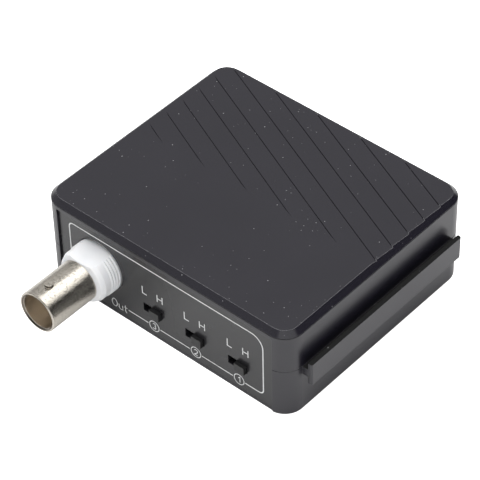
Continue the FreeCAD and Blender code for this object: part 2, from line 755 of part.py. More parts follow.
def build_bnc_housing():
    """White block on the board with a ringed neck that passes through the front panel."""
    body = new_body("bnc_housing", bnc_x, 0, bnc_up)
    sketch = sketch_on(body, "bnc_block", "XZ_Plane", block_back)
    draw_rectangle(sketch, -bnc_block / 2, -bnc_rise, bnc_block / 2, bnc_block / 2)
    pad(body, sketch, bnc_block_depth)
    # half profile of the neck: fine rings near the panel, then a plain nose with a round edge
    crest = neck_diameter / 2
    valley = crest - ring_depth
    ring_start = panel_outer - panel_play
    points = [(0, past - behind_panel), (valley, past - behind_panel), (valley, -ring_start)]
    for k in range(4):
        points.append((crest, -ring_start - ring_pitch * (k + 0.5)))
        points.append((valley, -ring_start - ring_pitch * (k + 1)))
    for turn in (0, 45, 90):
        inward = 1 - math.cos(math.radians(turn))
        forward = math.sin(math.radians(turn)) - 1
        points.append((valley - neck_round * inward, -neck_front - neck_round * forward))
    points.append((0, -neck_front))
    sketch = sketch_on(body, "bnc_neck", "XY_Plane")
    draw_polygon(sketch, points)
    revolve(body, sketch, "V_Axis")
    # the flat along the top of the neck, and the stepped hole for barrel and insulator
    sketch = sketch_on(body, "bnc_flat", "XZ_Plane", panel_inner)
    draw_rectangle(sketch, -neck_diameter, barrel_diameter / 2 + flat_rise, neck_diameter, neck_diameter)
    pocket(body, sketch, neck_reach * 2, reverse=True)
    sketch = sketch_on(body, "bnc_seat", "XZ_Plane", neck_front)
    draw_circle(sketch, 0, 0, shank_diameter + press_play * 2)
    pocket(body, sketch, shank_length + press_play)
    sketch = sketch_on(body, "bnc_core_hole", "XZ_Plane", neck_front)
    draw_circle(sketch, 0, 0, dielectric_diameter + press_play * 2)
    pocket(body, sketch, neck_front - bnc_tail + press_play)
    return body


def build_bnc_barrel():
    """Plated barrel with an open mouth, two bayonet lugs and a shank that sits in the neck."""
    body = new_body("bnc_barrel", bnc_x, 0, bnc_up)
    outer = barrel_diameter / 2
    shank = shank_diameter / 2
    mouth = mouth_diameter / 2
    bore = bore_diameter / 2
    collar = dielectric_diameter / 2 + press_play
    shank_end = neck_front - shank_length
    sketch = sketch_on(body, "barrel_outside", "XY_Plane")
    draw_polygon(sketch, [(0, -shank_end), (shank, -shank_end), (shank, -neck_front), (outer, -neck_front),
                          (outer, rim_bevel - rim), (outer - rim_bevel, -rim), (0, -rim)])
    revolve(body, sketch, "V_Axis")
    sketch = sketch_on(body, "barrel_lugs", "XY_Plane")
    draw_circle(sketch, 0, lug_back - rim, lug_diameter)
    pad(body, sketch, barrel_diameter + lug_height * 2, middle=True)
    sketch = sketch_on(body, "barrel_inside", "XY_Plane")
    draw_polygon(sketch, [
        (0, -rim - past), (mouth + mouth_lead, -rim - past), (mouth + mouth_lead, -rim),
        (mouth, mouth_lead - rim), (mouth, mouth_depth - rim), (bore, mouth_depth - rim),
        (bore, -neck_front), (collar, -neck_front), (collar, past - shank_end), (0, past - shank_end)])
    revolve(body, sketch, "V_Axis", "Groove")
    return body


def build_bnc_core():
    """Insulator and slotted centre contact inside the barrel."""
    tip = rim - dielectric_back
    hole = contact_diameter / 2 + press_play
    outer = dielectric_diameter / 2
    dielectric = new_body("bnc_dielectric", bnc_x, 0, bnc_up)
    sketch = sketch_on(dielectric, "dielectric_profile", "XY_Plane")
    draw_polygon(sketch, [(hole, -bnc_tail), (outer, -bnc_tail), (outer, -tip), (hole, -tip)])
    revolve(dielectric, sketch, "V_Axis")
    contact = new_body("bnc_contact", bnc_x, 0, bnc_up)
    lips = tip - press_play
    sketch = sketch_on(contact, "contact_profile", "XY_Plane")
    draw_polygon(sketch, [
        (0, -bnc_tail), (contact_diameter / 2, -bnc_tail), (contact_diameter / 2, -lips),
        (contact_bore / 2, -lips), (contact_bore / 2, contact_depth - lips), (0, contact_depth - lips)])
    revolve(contact, sketch, "V_Axis")
    for name, width, height in (("contact_slit", contact_diameter * 2, contact_slit),
                                ("contact_cross_slit", contact_slit, contact_diameter * 2)):
        sketch = sketch_on(contact, name, "XZ_Plane", lips)
        draw_rectangle(sketch, -width / 2, -height / 2, width / 2, height / 2)
        pocket(contact, sketch, slit_depth)
    return dielectric, contact


def build_switch(index, x):
    """One slide switch: bent steel frame, laminate base and a knob that rests at its right stop."""
    name = "switch_%d" % (index + 1)
    low = board_top + frame_lift
    high = low + frame_height
    left = x - frame_length / 2
    right = x + frame_length / 2
    frame = new_body(name + "_frame")
    sketch = sketch_on(frame, name + "_frame_outline", "XZ_Plane", frame_back)
    draw_rectangle(sketch, left, low, right, high)
    pad(frame, sketch, frame_depth)
    sketch = sketch_on(frame, name + "_frame_inside", "XZ_Plane", frame_back)
    draw_rectangle(sketch, left + frame_sheet, low + frame_sheet, right - frame_sheet, high - frame_sheet)
    pocket(frame, sketch, frame_depth - frame_sheet, reverse=True)
    sketch = sketch_on(frame, name + "_frame_window", "XZ_Plane", behind_panel)
    draw_rectangle(sketch, x - slot_length / 2, slot_up - slot_height / 2,
                   x + slot_length / 2, slot_up + slot_height / 2)
    pocket(frame, sketch, frame_sheet * 2)
    inside_low = low + frame_sheet + press_play
    inside_high = high - frame_sheet - press_play
    base = make_box(name + "_base", left + frame_sheet + press_play, right - frame_sheet - press_play,
                    -frame_back - base_thick, -frame_back, inside_low, inside_high)
    knob = new_body(name + "_knob", x + (slot_length - knob_length) / 2 - slot_play)
    slider_front = behind_panel - frame_sheet - slider_play
    reach = knob_length / 2 + slider_ledge
    sketch = sketch_on(knob, name + "_slider", "XZ_Plane", slider_front - slider_depth)
    draw_rectangle(sketch, -reach, low + frame_sheet + slider_play, reach, high - frame_sheet - slider_play)
    pad(knob, sketch, slider_depth)
    sketch = sketch_on(knob, name + "_stub", "XZ_Plane", slider_front)
    draw_rectangle(sketch, -knob_length / 2, slot_up - knob_height / 2,
                   knob_length / 2, slot_up + knob_height / 2)
    pad(knob, sketch, panel_outer + knob_reach - slider_front)
    # the pins stand against the back of the base
    spots = [(x + switch_pin_pitch * k, pin_thick / 2 - frame_back) for k in (-1, 0, 1)]
    return frame, base, knob, board_pins(name + "_pin", spots, slot_up), spots


jack_width = jack_bore + jack_cheek * 2
jack_height = jack_rise + jack_bore / 2 + jack_head


def build_jack():
    """Round power socket: a block with a bore, a centre pin and solder tails."""
    body = new_body("jack_body", jack_side, 0, board_top)
    sketch = sketch_on(body, "jack_block", "XZ_Plane", -panel_outer)
    draw_rectangle(sketch, -jack_width / 2, 0, jack_width / 2, jack_height)
    pad(body, sketch, jack_depth)
    for name, diameter, depth in (("jack_bore", jack_bore, jack_bore_depth),
                                  ("jack_pin_seat", jack_pin_diameter + press_play * 2, jack_depth - jack_back)):
        sketch = sketch_on(body, name, "XZ_Plane", -panel_outer)
        draw_circle(sketch, 0, jack_rise, diameter)
        pocket(body, sketch, depth, reverse=True)
    pin = new_body("jack_pin", jack_side, 0, board_top + jack_rise)
    sketch = sketch_on(pin, "jack_pin_profile", "XY_Plane")
    tip = panel_outer - jack_pin_sink
    root = jack_inner + jack_back + press_play
    radius = jack_pin_diameter / 2
    draw_polygon(sketch, [(0, root), (radius, root), (radius, tip - radius / 2), (radius / 2, tip), (0, tip)])
    revolve(pin, sketch, "V_Axis")
    spots = [(jack_side, jack_inner + jack_tail_front), (jack_side, jack_inner + jack_tail_rear),
             (jack_side + jack_tail_side, jack_inner + jack_tail_middle)]
    return body, pin, board_pins("jack_tail", spots, board_top), spots


entry_rise = entry_floor + entry / 2
clamp_rise = entry_floor + entry + clamp_gap + clamp_screw / 2
pair_width = pair_pitch * 2 + pair_cheek * 2
pair_height = clamp_rise + clamp_screw / 2 + clamp_top


def build_terminal():
    """Two-way screw terminal for the twisted pair; wires and screws are both reached from the rear."""
    body = new_body("terminal_body", -pair_side, 0, board_top)
    sketch = sketch_on(body, "terminal_block", "XZ_Plane", -panel_outer)
    draw_rectangle(sketch, -pair_width / 2, 0, pair_width / 2, pair_height)
    pad(body, sketch, pair_depth)
    sides = [pair_pitch / 2 * sign for sign in (-1, 1)]
    sketch = sketch_on(body, "terminal_entries", "XZ_Plane", -panel_outer)
    for x in sides:
        draw_rectangle(sketch, x - entry / 2, entry_floor, x + entry / 2, entry_floor + entry)
    pocket(body, sketch, pair_depth - pair_back, reverse=True)
    sketch = sketch_on(body, "terminal_wells", "XZ_Plane", -panel_outer)
    for x in sides:
        draw_circle(sketch, x, clamp_rise, clamp_screw + press_play * 2)
    pocket(body, sketch, pair_depth - pair_back, reverse=True)
    head = panel_outer - clamp_sink
    foot = pair_inner + pair_back + press_play
    screws = []
    cages = []
    for i, x in enumerate(sides):
        screw = new_body("terminal_screw_%d" % (i + 1), x - pair_side, 0, board_top + clamp_rise)
        sketch = sketch_on(screw, "clamp_profile_%d" % (i + 1), "XY_Plane")
        draw_polygon(sketch, [(0, foot), (clamp_screw / 2, foot), (clamp_screw / 2, head), (0, head)])
        revolve(screw, sketch, "V_Axis")
        sketch = sketch_on(screw, "clamp_slot_%d" % (i + 1), "XZ_Plane", -head)
        draw_rectangle(sketch, -clamp_screw, -clamp_slot / 2, clamp_screw, clamp_slot / 2)
        pocket(screw, sketch, clamp_slot_depth, reverse=True)
        screws.append(screw)
        cage = new_body("terminal_cage_%d" % (i + 1), x - pair_side, 0, board_top + entry_rise)
        sketch = sketch_on(cage, "cage_outline_%d" % (i + 1), "XZ_Plane", cage_sink - panel_outer)
        reach = entry / 2 - press_play
        inner = reach - cage_wall
        draw_rectangle(sketch, -reach, -reach, reach, reach)
        draw_rectangle(sketch, -inner, -inner, inner, inner)
        pad(cage, sketch, pair_depth - pair_back - cage_sink - press_play)
        cages.append(cage)
    spots = [(x - pair_side, pair_inner + pair_back / 2) for x in sides]
    pins = board_pins("terminal_pin", spots, board_top)
    return body, group("terminal_screws", screws), group("terminal_cages", cages), pins, spots


def build_lamp():
    """Small round lamp in the rear panel on two bent wires."""
    lens = new_body("led_lens", lamp_side, 0, board_top + lamp_rise)
    sketch = sketch_on(lens, "lens_profile", "XY_Plane")
    radius = lamp_diameter / 2
    collar = behind_panel - press_play
    back = collar - lamp_flange_depth
    points = [(0, back), (radius + lamp_flange, back), (radius + lamp_flange, collar), (radius, collar)]
    for turn in (0, 45):
        angle = math.radians(turn)
        points.append((radius * math.cos(angle), panel_outer + lamp_dome * math.sin(angle)))
    points.append((0, panel_outer + lamp_dome))
    draw_polygon(sketch, points)
    revolve(lens, sketch, "V_Axis")
    wires = []
    half_wire = lamp_wire / 2
    top = board_top + lamp_rise
    foot_y = back - lamp_run
    for i, sign in enumerate((-1, 1)):
        wire = new_body("led_wire_%d" % (i + 1), lamp_side + lamp_pitch / 2 * sign)
        sketch = sketch_on(wire, "wire_outline_%d" % (i + 1), "YZ_Plane")
        draw_polygon(sketch, [
            (back, top + half_wire), (foot_y - half_wire, top + half_wire), (foot_y - half_wire, pin_foot),
            (foot_y + half_wire, pin_foot), (foot_y + half_wire, top - half_wire), (back, top - half_wire)])
        pad(wire, sketch, lamp_wire, middle=True)
        wires.append(wire)
    spots = [(lamp_side + lamp_pitch / 2 * sign, foot_y) for sign in (-1, 1)]
    return lens, group("led_leads", wires), spots


def build_surge_tubes(x):
    """Two ceramic tubes that lie side by side on the board."""
    tubes = []
    for i, sign in enumerate((-1, 1)):
        y = row_y + (tube_diameter + tube_gap) / 2 * sign
        tubes.append(make_rod("surge_tube_%d" % (i + 1), x - tube_length / 2, y,
                              board_top + tube_diameter / 2, tube_diameter, tube_length))
    return group("surge_tubes", tubes)


def build_choke(x):
    """A ring core with loops of wire around it, which stand on the board."""
    core_half = choke_thick / 2
    inside = core_half + turn_play
    outside = inside + turn_wire
    level = board_top + outside
    core = new_body("choke_core", x, row_y, level)
    sketch = sketch_on(core, "core_rings", "XY_Plane")
    draw_circle(sketch, 0, 0, choke_radius * 2 + choke_thick)
    draw_circle(sketch, 0, 0, choke_radius * 2 - choke_thick)
    pad(core, sketch, choke_thick, middle=True)
    turns = []
    count = 8
    for i in range(count):
        angle = 360 / count * (i + 0.5)
        out_x = math.cos(math.radians(angle))
        out_y = math.sin(math.radians(angle))
        name = "choke_turn_%d" % (i + 1)
        turn = new_body(name, x + choke_radius * out_x, row_y + choke_radius * out_y, level)
        turn.Placement = Placement(turn.Placement.Base, Rotation(Vector(0, 0, 1), angle))
        sketch = sketch_on(turn, name + "_loop", "XZ_Plane")
        draw_rectangle(sketch, -outside, -outside, outside, outside)
        draw_rectangle(sketch, -inside, -inside, inside, inside)
        pad(turn, sketch, turn_wire, middle=True)
        turns.append(turn)
    return core, group("choke_winding", turns)


def build_chip(x):
    """An eight-legged amplifier on the board."""
    half_width = chip_width / 2
    front = row_y - chip_length / 2
    chip = make_box("amplifier_chip", x - half_width, x + half_width, front, front + chip_length,
                    board_top + chip_lift, board_top + chip_lift + chip_height)
    leads = []
    for i in range(4):
        y = row_y + lead_pitch * (i - 1.5) - lead_width / 2
        for side, start in (("a", x - half_width - lead_reach), ("b", x + half_width)):
            leads.append(make_box("chip_lead_%d%s" % (i + 1, side), start, start + lead_reach,
                                  y, y + lead_width, board_top, board_top + lead_height))
    return chip, group("chip_leads", leads)


def build_cans(first_x, step):
    """Two upright filter capacitors."""
    cans = []
    for i in range(2):
        can = new_body("capacitor_%d" % (i + 1), first_x + step * i, row_y, board_top)
        sketch = sketch_on(can, "can_outline_%d" % (i + 1), "XY_Plane")
        draw_circle(sketch, 0, 0, can_diameter)
        pad(can, sketch, can_height)
        cans.append(can)
    return group("filter_capacitors", cans)


def build_screws():
    """Case screws, driven in from below."""
    screws = []
    shaft = screw_diameter / 2
    head = head_diameter / 2
    for i, (x, y) in enumerate(screw_spots):
        name = "case_screw_%d" % (i + 1)
        screw = new_body(name, x, y, head_sink)
        sketch = sketch_on(screw, name + "_profile", "XZ_Plane")
        draw_polygon(sketch, [(0, -head_height), (head, -head_height), (head, 0), (shaft, 0),
                              (shaft, screw_length), (0, screw_length)])
        revolve(screw, sketch, "V_Axis")
        reach = cross_length / 2
        for cross, half_x, half_y in (("_slot", cross_width / 2, reach), ("_cross_slot", reach, cross_width / 2)):
            sketch = sketch_on(screw, name + cross, "XY_Plane", -head_height)
            draw_rectangle(sketch, -half_x, -half_y, half_x, half_y)
            pocket(screw, sketch, cross_depth, reverse=True)
        screws.append(screw)
    return group("case_screws", screws)


def keep_all(*pieces):
    for piece in pieces:
        parts.append(piece)


keep_all(cut("upper_shell", build_upper_shell(), build_lid_steps()))
keep_all(build_lower_shell(), build_front_panel(), build_rear_panel())
keep_all(build_bnc_housing(), build_bnc_barrel(), *build_bnc_core())
bnc_pin_y = -block_back - bnc_pin_inset
bnc_spots = [(bnc_x - bnc_pin_spread, bnc_pin_y), (bnc_x + bnc_pin_spread, bnc_pin_y),
             (bnc_x, bnc_pin_y - bnc_pin_spread)]
keep_all(board_pins("bnc_pin", bnc_spots, board_top))
pin_spots = list(bnc_spots)
for index, x in enumerate(switch_x):
    *pieces, spots = build_switch(index, x)
    keep_all(*pieces)
    pin_spots += spots
for build in (build_jack, build_terminal, build_lamp):
    *pieces, spots = build()
    keep_all(*pieces)
    pin_spots += spots
keep_all(build_board(pin_spots))
# the row of small parts, from left to right
choke_reach = choke_radius + choke_thick / 2 + turn_play + turn_wire
tube_x = board_margin + row_gap + tube_length / 2 - inner_x
choke_x = tube_x + tube_length / 2 + row_gap + choke_reach
chip_x = choke_x + choke_reach + row_gap * 2 + lead_reach + chip_width / 2
can_x = chip_x + chip_width / 2 + lead_reach + row_gap * 2 + can_diameter / 2
keep_all(build_surge_tubes(tube_x), *build_choke(choke_x))
keep_all(*build_chip(chip_x), build_cans(can_x, can_diameter + row_gap * 2), build_screws())
doc.recompute()

for obj in doc.Objects:
    if "Invalid" in obj.State or "Error" in obj.State:
        raise RuntimeError("not rebuilt: " + obj.Label)
for obj in parts:
    shape = obj.Shape
    if shape.isNull() or not shape.isValid() or not shape.Solids:
        raise RuntimeError("no sound solid: " + obj.Label)
    box = shape.BoundBox
    print("%-20s %2d solids  x %.2f %.2f  y %.2f %.2f  z %.2f %.2f" % (
        obj.Label, len(shape.Solids), box.XMin, box.XMax, box.YMin, box.YMax, box.ZMin, box.ZMax))
    shape.exportStep("parts/%s.step" % obj.Label)
print("parts", len(parts))
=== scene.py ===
# %% [markdown]
# # A video balun, dressed for its portrait
# The object is a flat box of dark moulded plastic that passes a camera's picture from a coaxial socket to a
# twisted pair. Its solids come packed from the part's own model and are already in place, in metres, with the
# front panel towards -Y. What is left for this lesson is what solids do not carry: finishes, soft edges, the
# white print on the front, the light and the camera.

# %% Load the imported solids
import json
import math
import bpy
from mathutils import Matrix, Vector


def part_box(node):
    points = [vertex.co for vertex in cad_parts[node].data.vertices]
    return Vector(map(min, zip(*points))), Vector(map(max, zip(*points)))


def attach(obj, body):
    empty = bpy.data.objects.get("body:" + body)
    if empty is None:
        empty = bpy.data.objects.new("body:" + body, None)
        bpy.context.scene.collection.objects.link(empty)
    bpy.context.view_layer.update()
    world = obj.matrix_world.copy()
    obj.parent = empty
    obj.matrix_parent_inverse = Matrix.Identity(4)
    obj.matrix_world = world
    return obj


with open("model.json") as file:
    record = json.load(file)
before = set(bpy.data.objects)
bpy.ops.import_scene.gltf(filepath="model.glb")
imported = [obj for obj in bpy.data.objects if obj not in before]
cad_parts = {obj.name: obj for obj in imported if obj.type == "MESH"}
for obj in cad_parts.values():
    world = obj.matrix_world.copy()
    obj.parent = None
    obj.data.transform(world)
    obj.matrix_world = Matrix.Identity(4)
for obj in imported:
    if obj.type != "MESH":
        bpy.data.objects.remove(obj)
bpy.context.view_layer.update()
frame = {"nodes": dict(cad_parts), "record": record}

nodes = frame["nodes"]
MM = 0.001
MICRON = 0.000001
print("solids:", len(nodes))

# %% [markdown]
# ## Smooth walls
# The solids come as triangles. Turned and rounded walls should shade as one curved surface, while a real
# corner must stay a corner. Marking every edge that turns by more than about a third of a right angle as
# sharp gives both. The nose of the white socket and the dome of the lamp's lens are rounded by a few broad
# facets, so their limit is wider. A Bevel modifier could round the corners too, but on small triangles it
# folds over itself, so the rounding is left to the finishes, which bend the surface normal near a corner.

# %% Shade the solids
SHARP_FROM = 32
SHARP_FROM_OF = {"bnc_housing": 46, "led_lens": 50}
for name, node in nodes.items():
    mesh = node.data
    mesh.polygons.foreach_set("use_smooth", [True] * len(mesh.polygons))
    mesh.set_sharp_from_angle(angle=math.radians(SHARP_FROM_OF.get(name, SHARP_FROM)))
print("triangles in all:", sum(len(node.data.polygons) for node in nodes.values()))

# %% [markdown]
# ## Building blocks of the finishes
# Every finish below is a Principled BSDF fed by small effects that several materials share: the grain that
# spark erosion leaves in a mould, wear along edges, and dust. Each effect could be drawn anew in every
# material, but as a node group with named sockets it is built once and placed with its own values, so the
# grain of the lid and that of a knob stay related. The shader itself stays in each material.


# %% Helpers for node trees
def new_group(name, inputs, outputs):
    """An empty shader group with float sockets, and its two end nodes."""
    group = bpy.data.node_groups.new(name, "ShaderNodeTree")
    for label, default in inputs:
        socket = group.interface.new_socket(label, in_out="INPUT", socket_type="NodeSocketFloat")
        socket.default_value = default
    for label in outputs:
        group.interface.new_socket(label, in_out="OUTPUT", socket_type="NodeSocketFloat")
    return group, group.nodes.new("NodeGroupInput"), group.nodes.new("NodeGroupOutput")


def add(tree, kind, **settings):
    """One node with its settings; keys that name a socket set that socket."""
    node = tree.nodes.new("ShaderNode" + kind)
    for key, value in settings.items():
        if hasattr(node, key):
            setattr(node, key, value)
        else:
            node.inputs[key.replace("_", " ")].default_value = value
    return node


def math_node(tree, operation, a, b=None, clamp=False):
    """A Math node whose inputs are sockets or plain numbers."""
    node = tree.nodes.new("ShaderNodeMath")
    node.operation = operation
    node.use_clamp = clamp
    for slot, value in ((0, a), (1, b)):
        if value is None:
            continue
        if isinstance(value, (int, float)):
            node.inputs[slot].default_value = value
        else:
            tree.links.new(value, node.inputs[slot])
    return node.outputs[0]


print("node helpers:", ", ".join(f.__name__ for f in (new_group, add, math_node)))


# %% [markdown]
# The grain of moulded plastic is a dense field of soft pits. Noise alone looks like cloud, and a cell pattern
# alone looks like scales; a fine noise laid over small soft cells gives the even, slightly pebbled skin of a
# sparked mould. The group gives a height for bump and a slow tone for colour and gloss.

# %% Grain of a sparked mould
def make_grain():
    """Scale sets the pits' number per metre, Drift that of the slow clouds."""
    sockets = [("Scale", 3000.0), ("Drift", 40.0)]
    group, source, result = new_group("mould_grain", sockets, ["Height", "Tone"])
    place = add(group, "TexCoord")
    cells = add(group, "TexVoronoi", feature="SMOOTH_F1")
    cells.inputs["Smoothness"].default_value = 0.6
    fine = add(group, "TexNoise", Detail=3.0, Roughness=0.6)
    slow = add(group, "TexNoise", Detail=2.0, Roughness=0.5)
    for texture, scale in ((cells, "Scale"), (fine, "Scale"), (slow, "Drift")):
        group.links.new(place.outputs["Object"], texture.inputs["Vector"])
        group.links.new(source.outputs[scale], texture.inputs["Scale"])
    height = math_node(group, "ADD", cells.outputs["Distance"], fine.outputs["Fac"])
    group.links.new(height, result.inputs["Height"])
    group.links.new(slow.outputs["Fac"], result.inputs["Tone"])
    return group


GRAIN = make_grain()
print("group:", GRAIN.name)


# %% [markdown]
# Handling polishes and lightens edges, and the case also uses the same mask for painted highlights. Painting
# each edge by hand would have to be done again after every change of shape. The Bevel node finds edges by
# itself: it looks at the surface a little way around each point, and where its averaged normal leaves the
# true one, there is an edge. One minus their dot product is the mask, broken up by noise so that the wear and
# the painted highlight come and go.

# %% Wear and painted highlights along edges
WEAR_PATCHES = 900.0


def make_edge_wear_and_highlight():
    """Radius is how far from the edge the wear reaches in metres, Gain its strength."""
    group, source, result = new_group("edge_wear_and_highlight", [("Radius", 0.0002), ("Gain", 6.0)], ["Mask"])
    around = add(group, "Bevel", samples=4)
    group.links.new(source.outputs["Radius"], around.inputs["Radius"])
    here = add(group, "NewGeometry")
    agree = add(group, "VectorMath", operation="DOT_PRODUCT")
    group.links.new(around.outputs["Normal"], agree.inputs[0])
    group.links.new(here.outputs["Normal"], agree.inputs[1])
    place = add(group, "TexCoord")
    breaks = add(group, "TexNoise", Scale=WEAR_PATCHES, Detail=3.0)
    group.links.new(place.outputs["Object"], breaks.inputs["Vector"])
    turn = math_node(group, "SUBTRACT", 1.0, agree.outputs["Value"])
    strong = math_node(group, "MULTIPLY", turn, source.outputs["Gain"])
    broken = math_node(group, "MULTIPLY", strong, breaks.outputs["Fac"], clamp=True)
    group.links.new(broken, result.inputs["Mask"])
    return group


EDGE_WEAR_AND_HIGHLIGHT = make_edge_wear_and_highlight()
print("group:", EDGE_WEAR_AND_HIGHLIGHT.name)


# %% [markdown]
# A mask is 1 where an effect shows and 0 elsewhere. A mask can be painted on the surface, but one that is
# worked out from place and tilt stays right when the shape changes. Multiplying masks leaves only what lies
# in all of them, and the upward part of the surface's normal tells floors from walls.

# %% Helpers for masks
def product(tree, mask, *others):
    """Multiplies masks, which leaves only what lies in all of them."""
    for other in others:
        mask = math_node(tree, "MULTIPLY", mask, other)
    return mask


def upward(tree):
    """How far the surface faces up: 1 on a floor, 0 on a wall."""
    here = add(tree, "NewGeometry")
    split = add(tree, "SeparateXYZ")
    tree.links.new(here.outputs["Normal"], split.inputs["Vector"])
    return split.outputs["Z"]


print("mask helpers:", product.__name__, upward.__name__)


# %% [markdown]
# Dark plastic shows every speck of dust. Specks could be scattered as small meshes, but as part of the finish
# they cost nothing. They are the cores of a cell pattern. Each cell's random colour keeps only some of them
# and makes those differ in strength, a slow noise gathers them in drifts, and the surface's upward tilt keeps
# them off the walls.

# %% Dust specks
DUST_DRIFTS = 55.0
BARE_BELOW = 0.3
DRIFT_GAIN = 4.0
LIES_ABOVE = 0.5


def make_dust():
    """Scale sets the cells' number per metre, Size a speck's share of its cell, Share how many are kept."""
    sockets = [("Scale", 260.0), ("Size", 0.06), ("Share", 0.12)]
    group, source, result = new_group("dust", sockets, ["Mask"])
    place = add(group, "TexCoord")
    cells = add(group, "TexVoronoi", feature="F1")
    group.links.new(place.outputs["Object"], cells.inputs["Vector"])
    group.links.new(source.outputs["Scale"], cells.inputs["Scale"])
    chance = add(group, "SeparateColor")
    group.links.new(cells.outputs["Color"], chance.inputs["Color"])
    core = math_node(group, "LESS_THAN", cells.outputs["Distance"], source.outputs["Size"])
    drift = add(group, "TexNoise", Scale=DUST_DRIFTS, Detail=1.0)
    group.links.new(place.outputs["Object"], drift.inputs["Vector"])
    dusty = math_node(group, "SUBTRACT", drift.outputs["Fac"], BARE_BELOW, clamp=True)
    limit = product(group, source.outputs["Share"], product(group, dusty, DRIFT_GAIN))
    kept = math_node(group, "LESS_THAN", chance.outputs["Red"], limit)
    faint = math_node(group, "POWER", chance.outputs["Green"], 2.0)
    level = math_node(group, "GREATER_THAN", upward(group), LIES_ABOVE)
    group.links.new(product(group, core, kept, faint, level), result.inputs["Mask"])
    return group


DUST = make_dust()
print("group:", DUST.name)


# %% [markdown]
# ## From effects to materials
# No real surface is one flat colour. Vertex colours could vary it, but they are as coarse as the mesh. So a
# finish starts from one colour and mixes others in by masks, as a painter adds thin layers.


# %% Helpers for colour
def new_material(name):
    """A node material with its Principled BSDF."""
    material = bpy.data.materials.new(name)
    material.use_nodes = True
    tree = material.node_tree
    return material, tree, tree.nodes["Principled BSDF"]


def use_group(tree, group, **values):
    """Places a shared effect with its own values."""
    node = tree.nodes.new("ShaderNodeGroup")
    node.node_tree = group
    for key, value in values.items():
        node.inputs[key].default_value = value
    return node


def blend_colour(tree, mask, low, high):
    """One colour where the mask is 0, another where it is 1; each is a colour or a socket."""
    mix = add(tree, "Mix", data_type="RGBA")
    tree.links.new(mask, mix.inputs["Factor"])
    for slot, colour in ((6, low), (7, high)):
        if isinstance(colour, tuple):
            mix.inputs[slot].default_value = (*colour, 1.0)
        else:
            tree.links.new(colour, mix.inputs[slot])
    return mix.outputs[2]


def scaled(colour, factor, lift=0.0):
    """A colour made lighter or darker, never past white."""
    return tuple(min(1.0, part * factor + lift) for part in colour)


print("colour helpers:", ", ".join(f.__name__ for f in (new_material, use_group, blend_colour, scaled)))

# %% [markdown]
# Gloss varies too: what a mould, a hand or a cloth has touched is a little smoother here and duller there.
# One roughness for all would give the flat look of a drawing. Mapping the grain's slow tone to a small range
# of roughness is enough, and it keeps colour and gloss in step.

# %% Helpers for gloss
TONE_LOW, TONE_HIGH = 0.3, 0.7


def span(tree, value, low, high, to_low, to_high):
    """Maps a value from one range to another."""
    node = add(tree, "MapRange")
    tree.links.new(value, node.inputs["Value"])
    for key, number in (("From Min", low), ("From Max", high), ("To Min", to_low), ("To Max", to_high)):
        node.inputs[key].default_value = number
    return node.outputs["Result"]


def drifting_gloss(tree, tone, low, high):
    """A roughness that drifts between two values with a noise."""
    return span(tree, tone, TONE_LOW, TONE_HIGH, low, high)


def paint(tree, shader, skin, gloss):
    """Feeds colour and roughness to the shader."""
    tree.links.new(skin, shader.inputs["Base Color"])
    tree.links.new(gloss, shader.inputs["Roughness"])


print("gloss drifts over tones from", TONE_LOW, "to", TONE_HIGH)

# %% [markdown]
# Moulded and cut corners are rounded by about a tenth of a millimetre. In the mesh that would take thousands
# of faces; the Bevel node bends only the normal there, which is all that the light sees. The grain is laid on
# top of the bent normal as a bump. Some places need a level normal instead, which a mask can ask for.

# %% Soft corners and grain
CORNER_RADIUS = 0.00008
STRAIGHT_UP = (0.0, 0.0, 1.0)


def bump(tree, shader, height, strength, distance, rounding=CORNER_RADIUS, level=None):
    """Rounds the corners of the normal and lays a height on top of it.

    Where the mask named level is 1, the normal points straight up instead.
    """
    corner = add(tree, "Bevel", samples=6)
    corner.inputs["Radius"].default_value = rounding
    normal = corner.outputs["Normal"]
    if level is not None:
        mix = add(tree, "Mix", data_type="VECTOR")
        tree.links.new(level, mix.inputs["Factor"])
        tree.links.new(normal, mix.inputs[4])
        mix.inputs[5].default_value = STRAIGHT_UP
        normal = mix.outputs[1]
    node = add(tree, "Bump")
    tree.links.new(normal, node.inputs["Normal"])
    node.inputs["Strength"].default_value = strength
    node.inputs["Distance"].default_value = distance
    tree.links.new(height, node.inputs["Height"])
    tree.links.new(node.outputs["Normal"], shader.inputs["Normal"])


print("corners rounded by", CORNER_RADIUS / MM, "mm")


# %% [markdown]
# ## Dark plastics
# The case, the panels and the knobs are all black ABS, but their moulds differ: the case is sparked to a fine
# even grain, the panels are smoother so that the print takes, and the knobs are nearly plain. Ten materials
# could be wired one by one, but one function makes all of them from a colour, a grain and a gloss, and a
# table keeps their values side by side. The pieces inside the box come from the same table.

# %% Moulded plastics
SLOW_DRIFT = 45.0
DARKER, LIGHTER = 0.88, 1.12
GLOSS_DRIFT = 0.04
WEAR_LIFT = 0.03
GRAIN_STRENGTH = 0.5


def moulded(name, colour, grain_scale, grain_depth, roughness, wear=0.35, specular=0.5):
    """Dark or bright moulded plastic with grain, drifting tone and worn edges."""
    material, tree, shader = new_material(name)
    grain = use_group(tree, GRAIN, Scale=grain_scale, Drift=SLOW_DRIFT)
    edges = use_group(tree, EDGE_WEAR_AND_HIGHLIGHT, Radius=0.0002, Gain=5.0)
    skin = blend_colour(tree, grain.outputs["Tone"], scaled(colour, DARKER), scaled(colour, LIGHTER))
    skin = blend_colour(tree, edges.outputs["Mask"], skin, scaled(colour, 1 + wear, WEAR_LIFT * wear))
    gloss = drifting_gloss(tree, grain.outputs["Tone"], roughness - GLOSS_DRIFT, roughness + GLOSS_DRIFT)
    paint(tree, shader, skin, gloss)
    shader.inputs["Specular IOR Level"].default_value = specular
    bump(tree, shader, grain.outputs["Height"], GRAIN_STRENGTH, grain_depth)
    return material


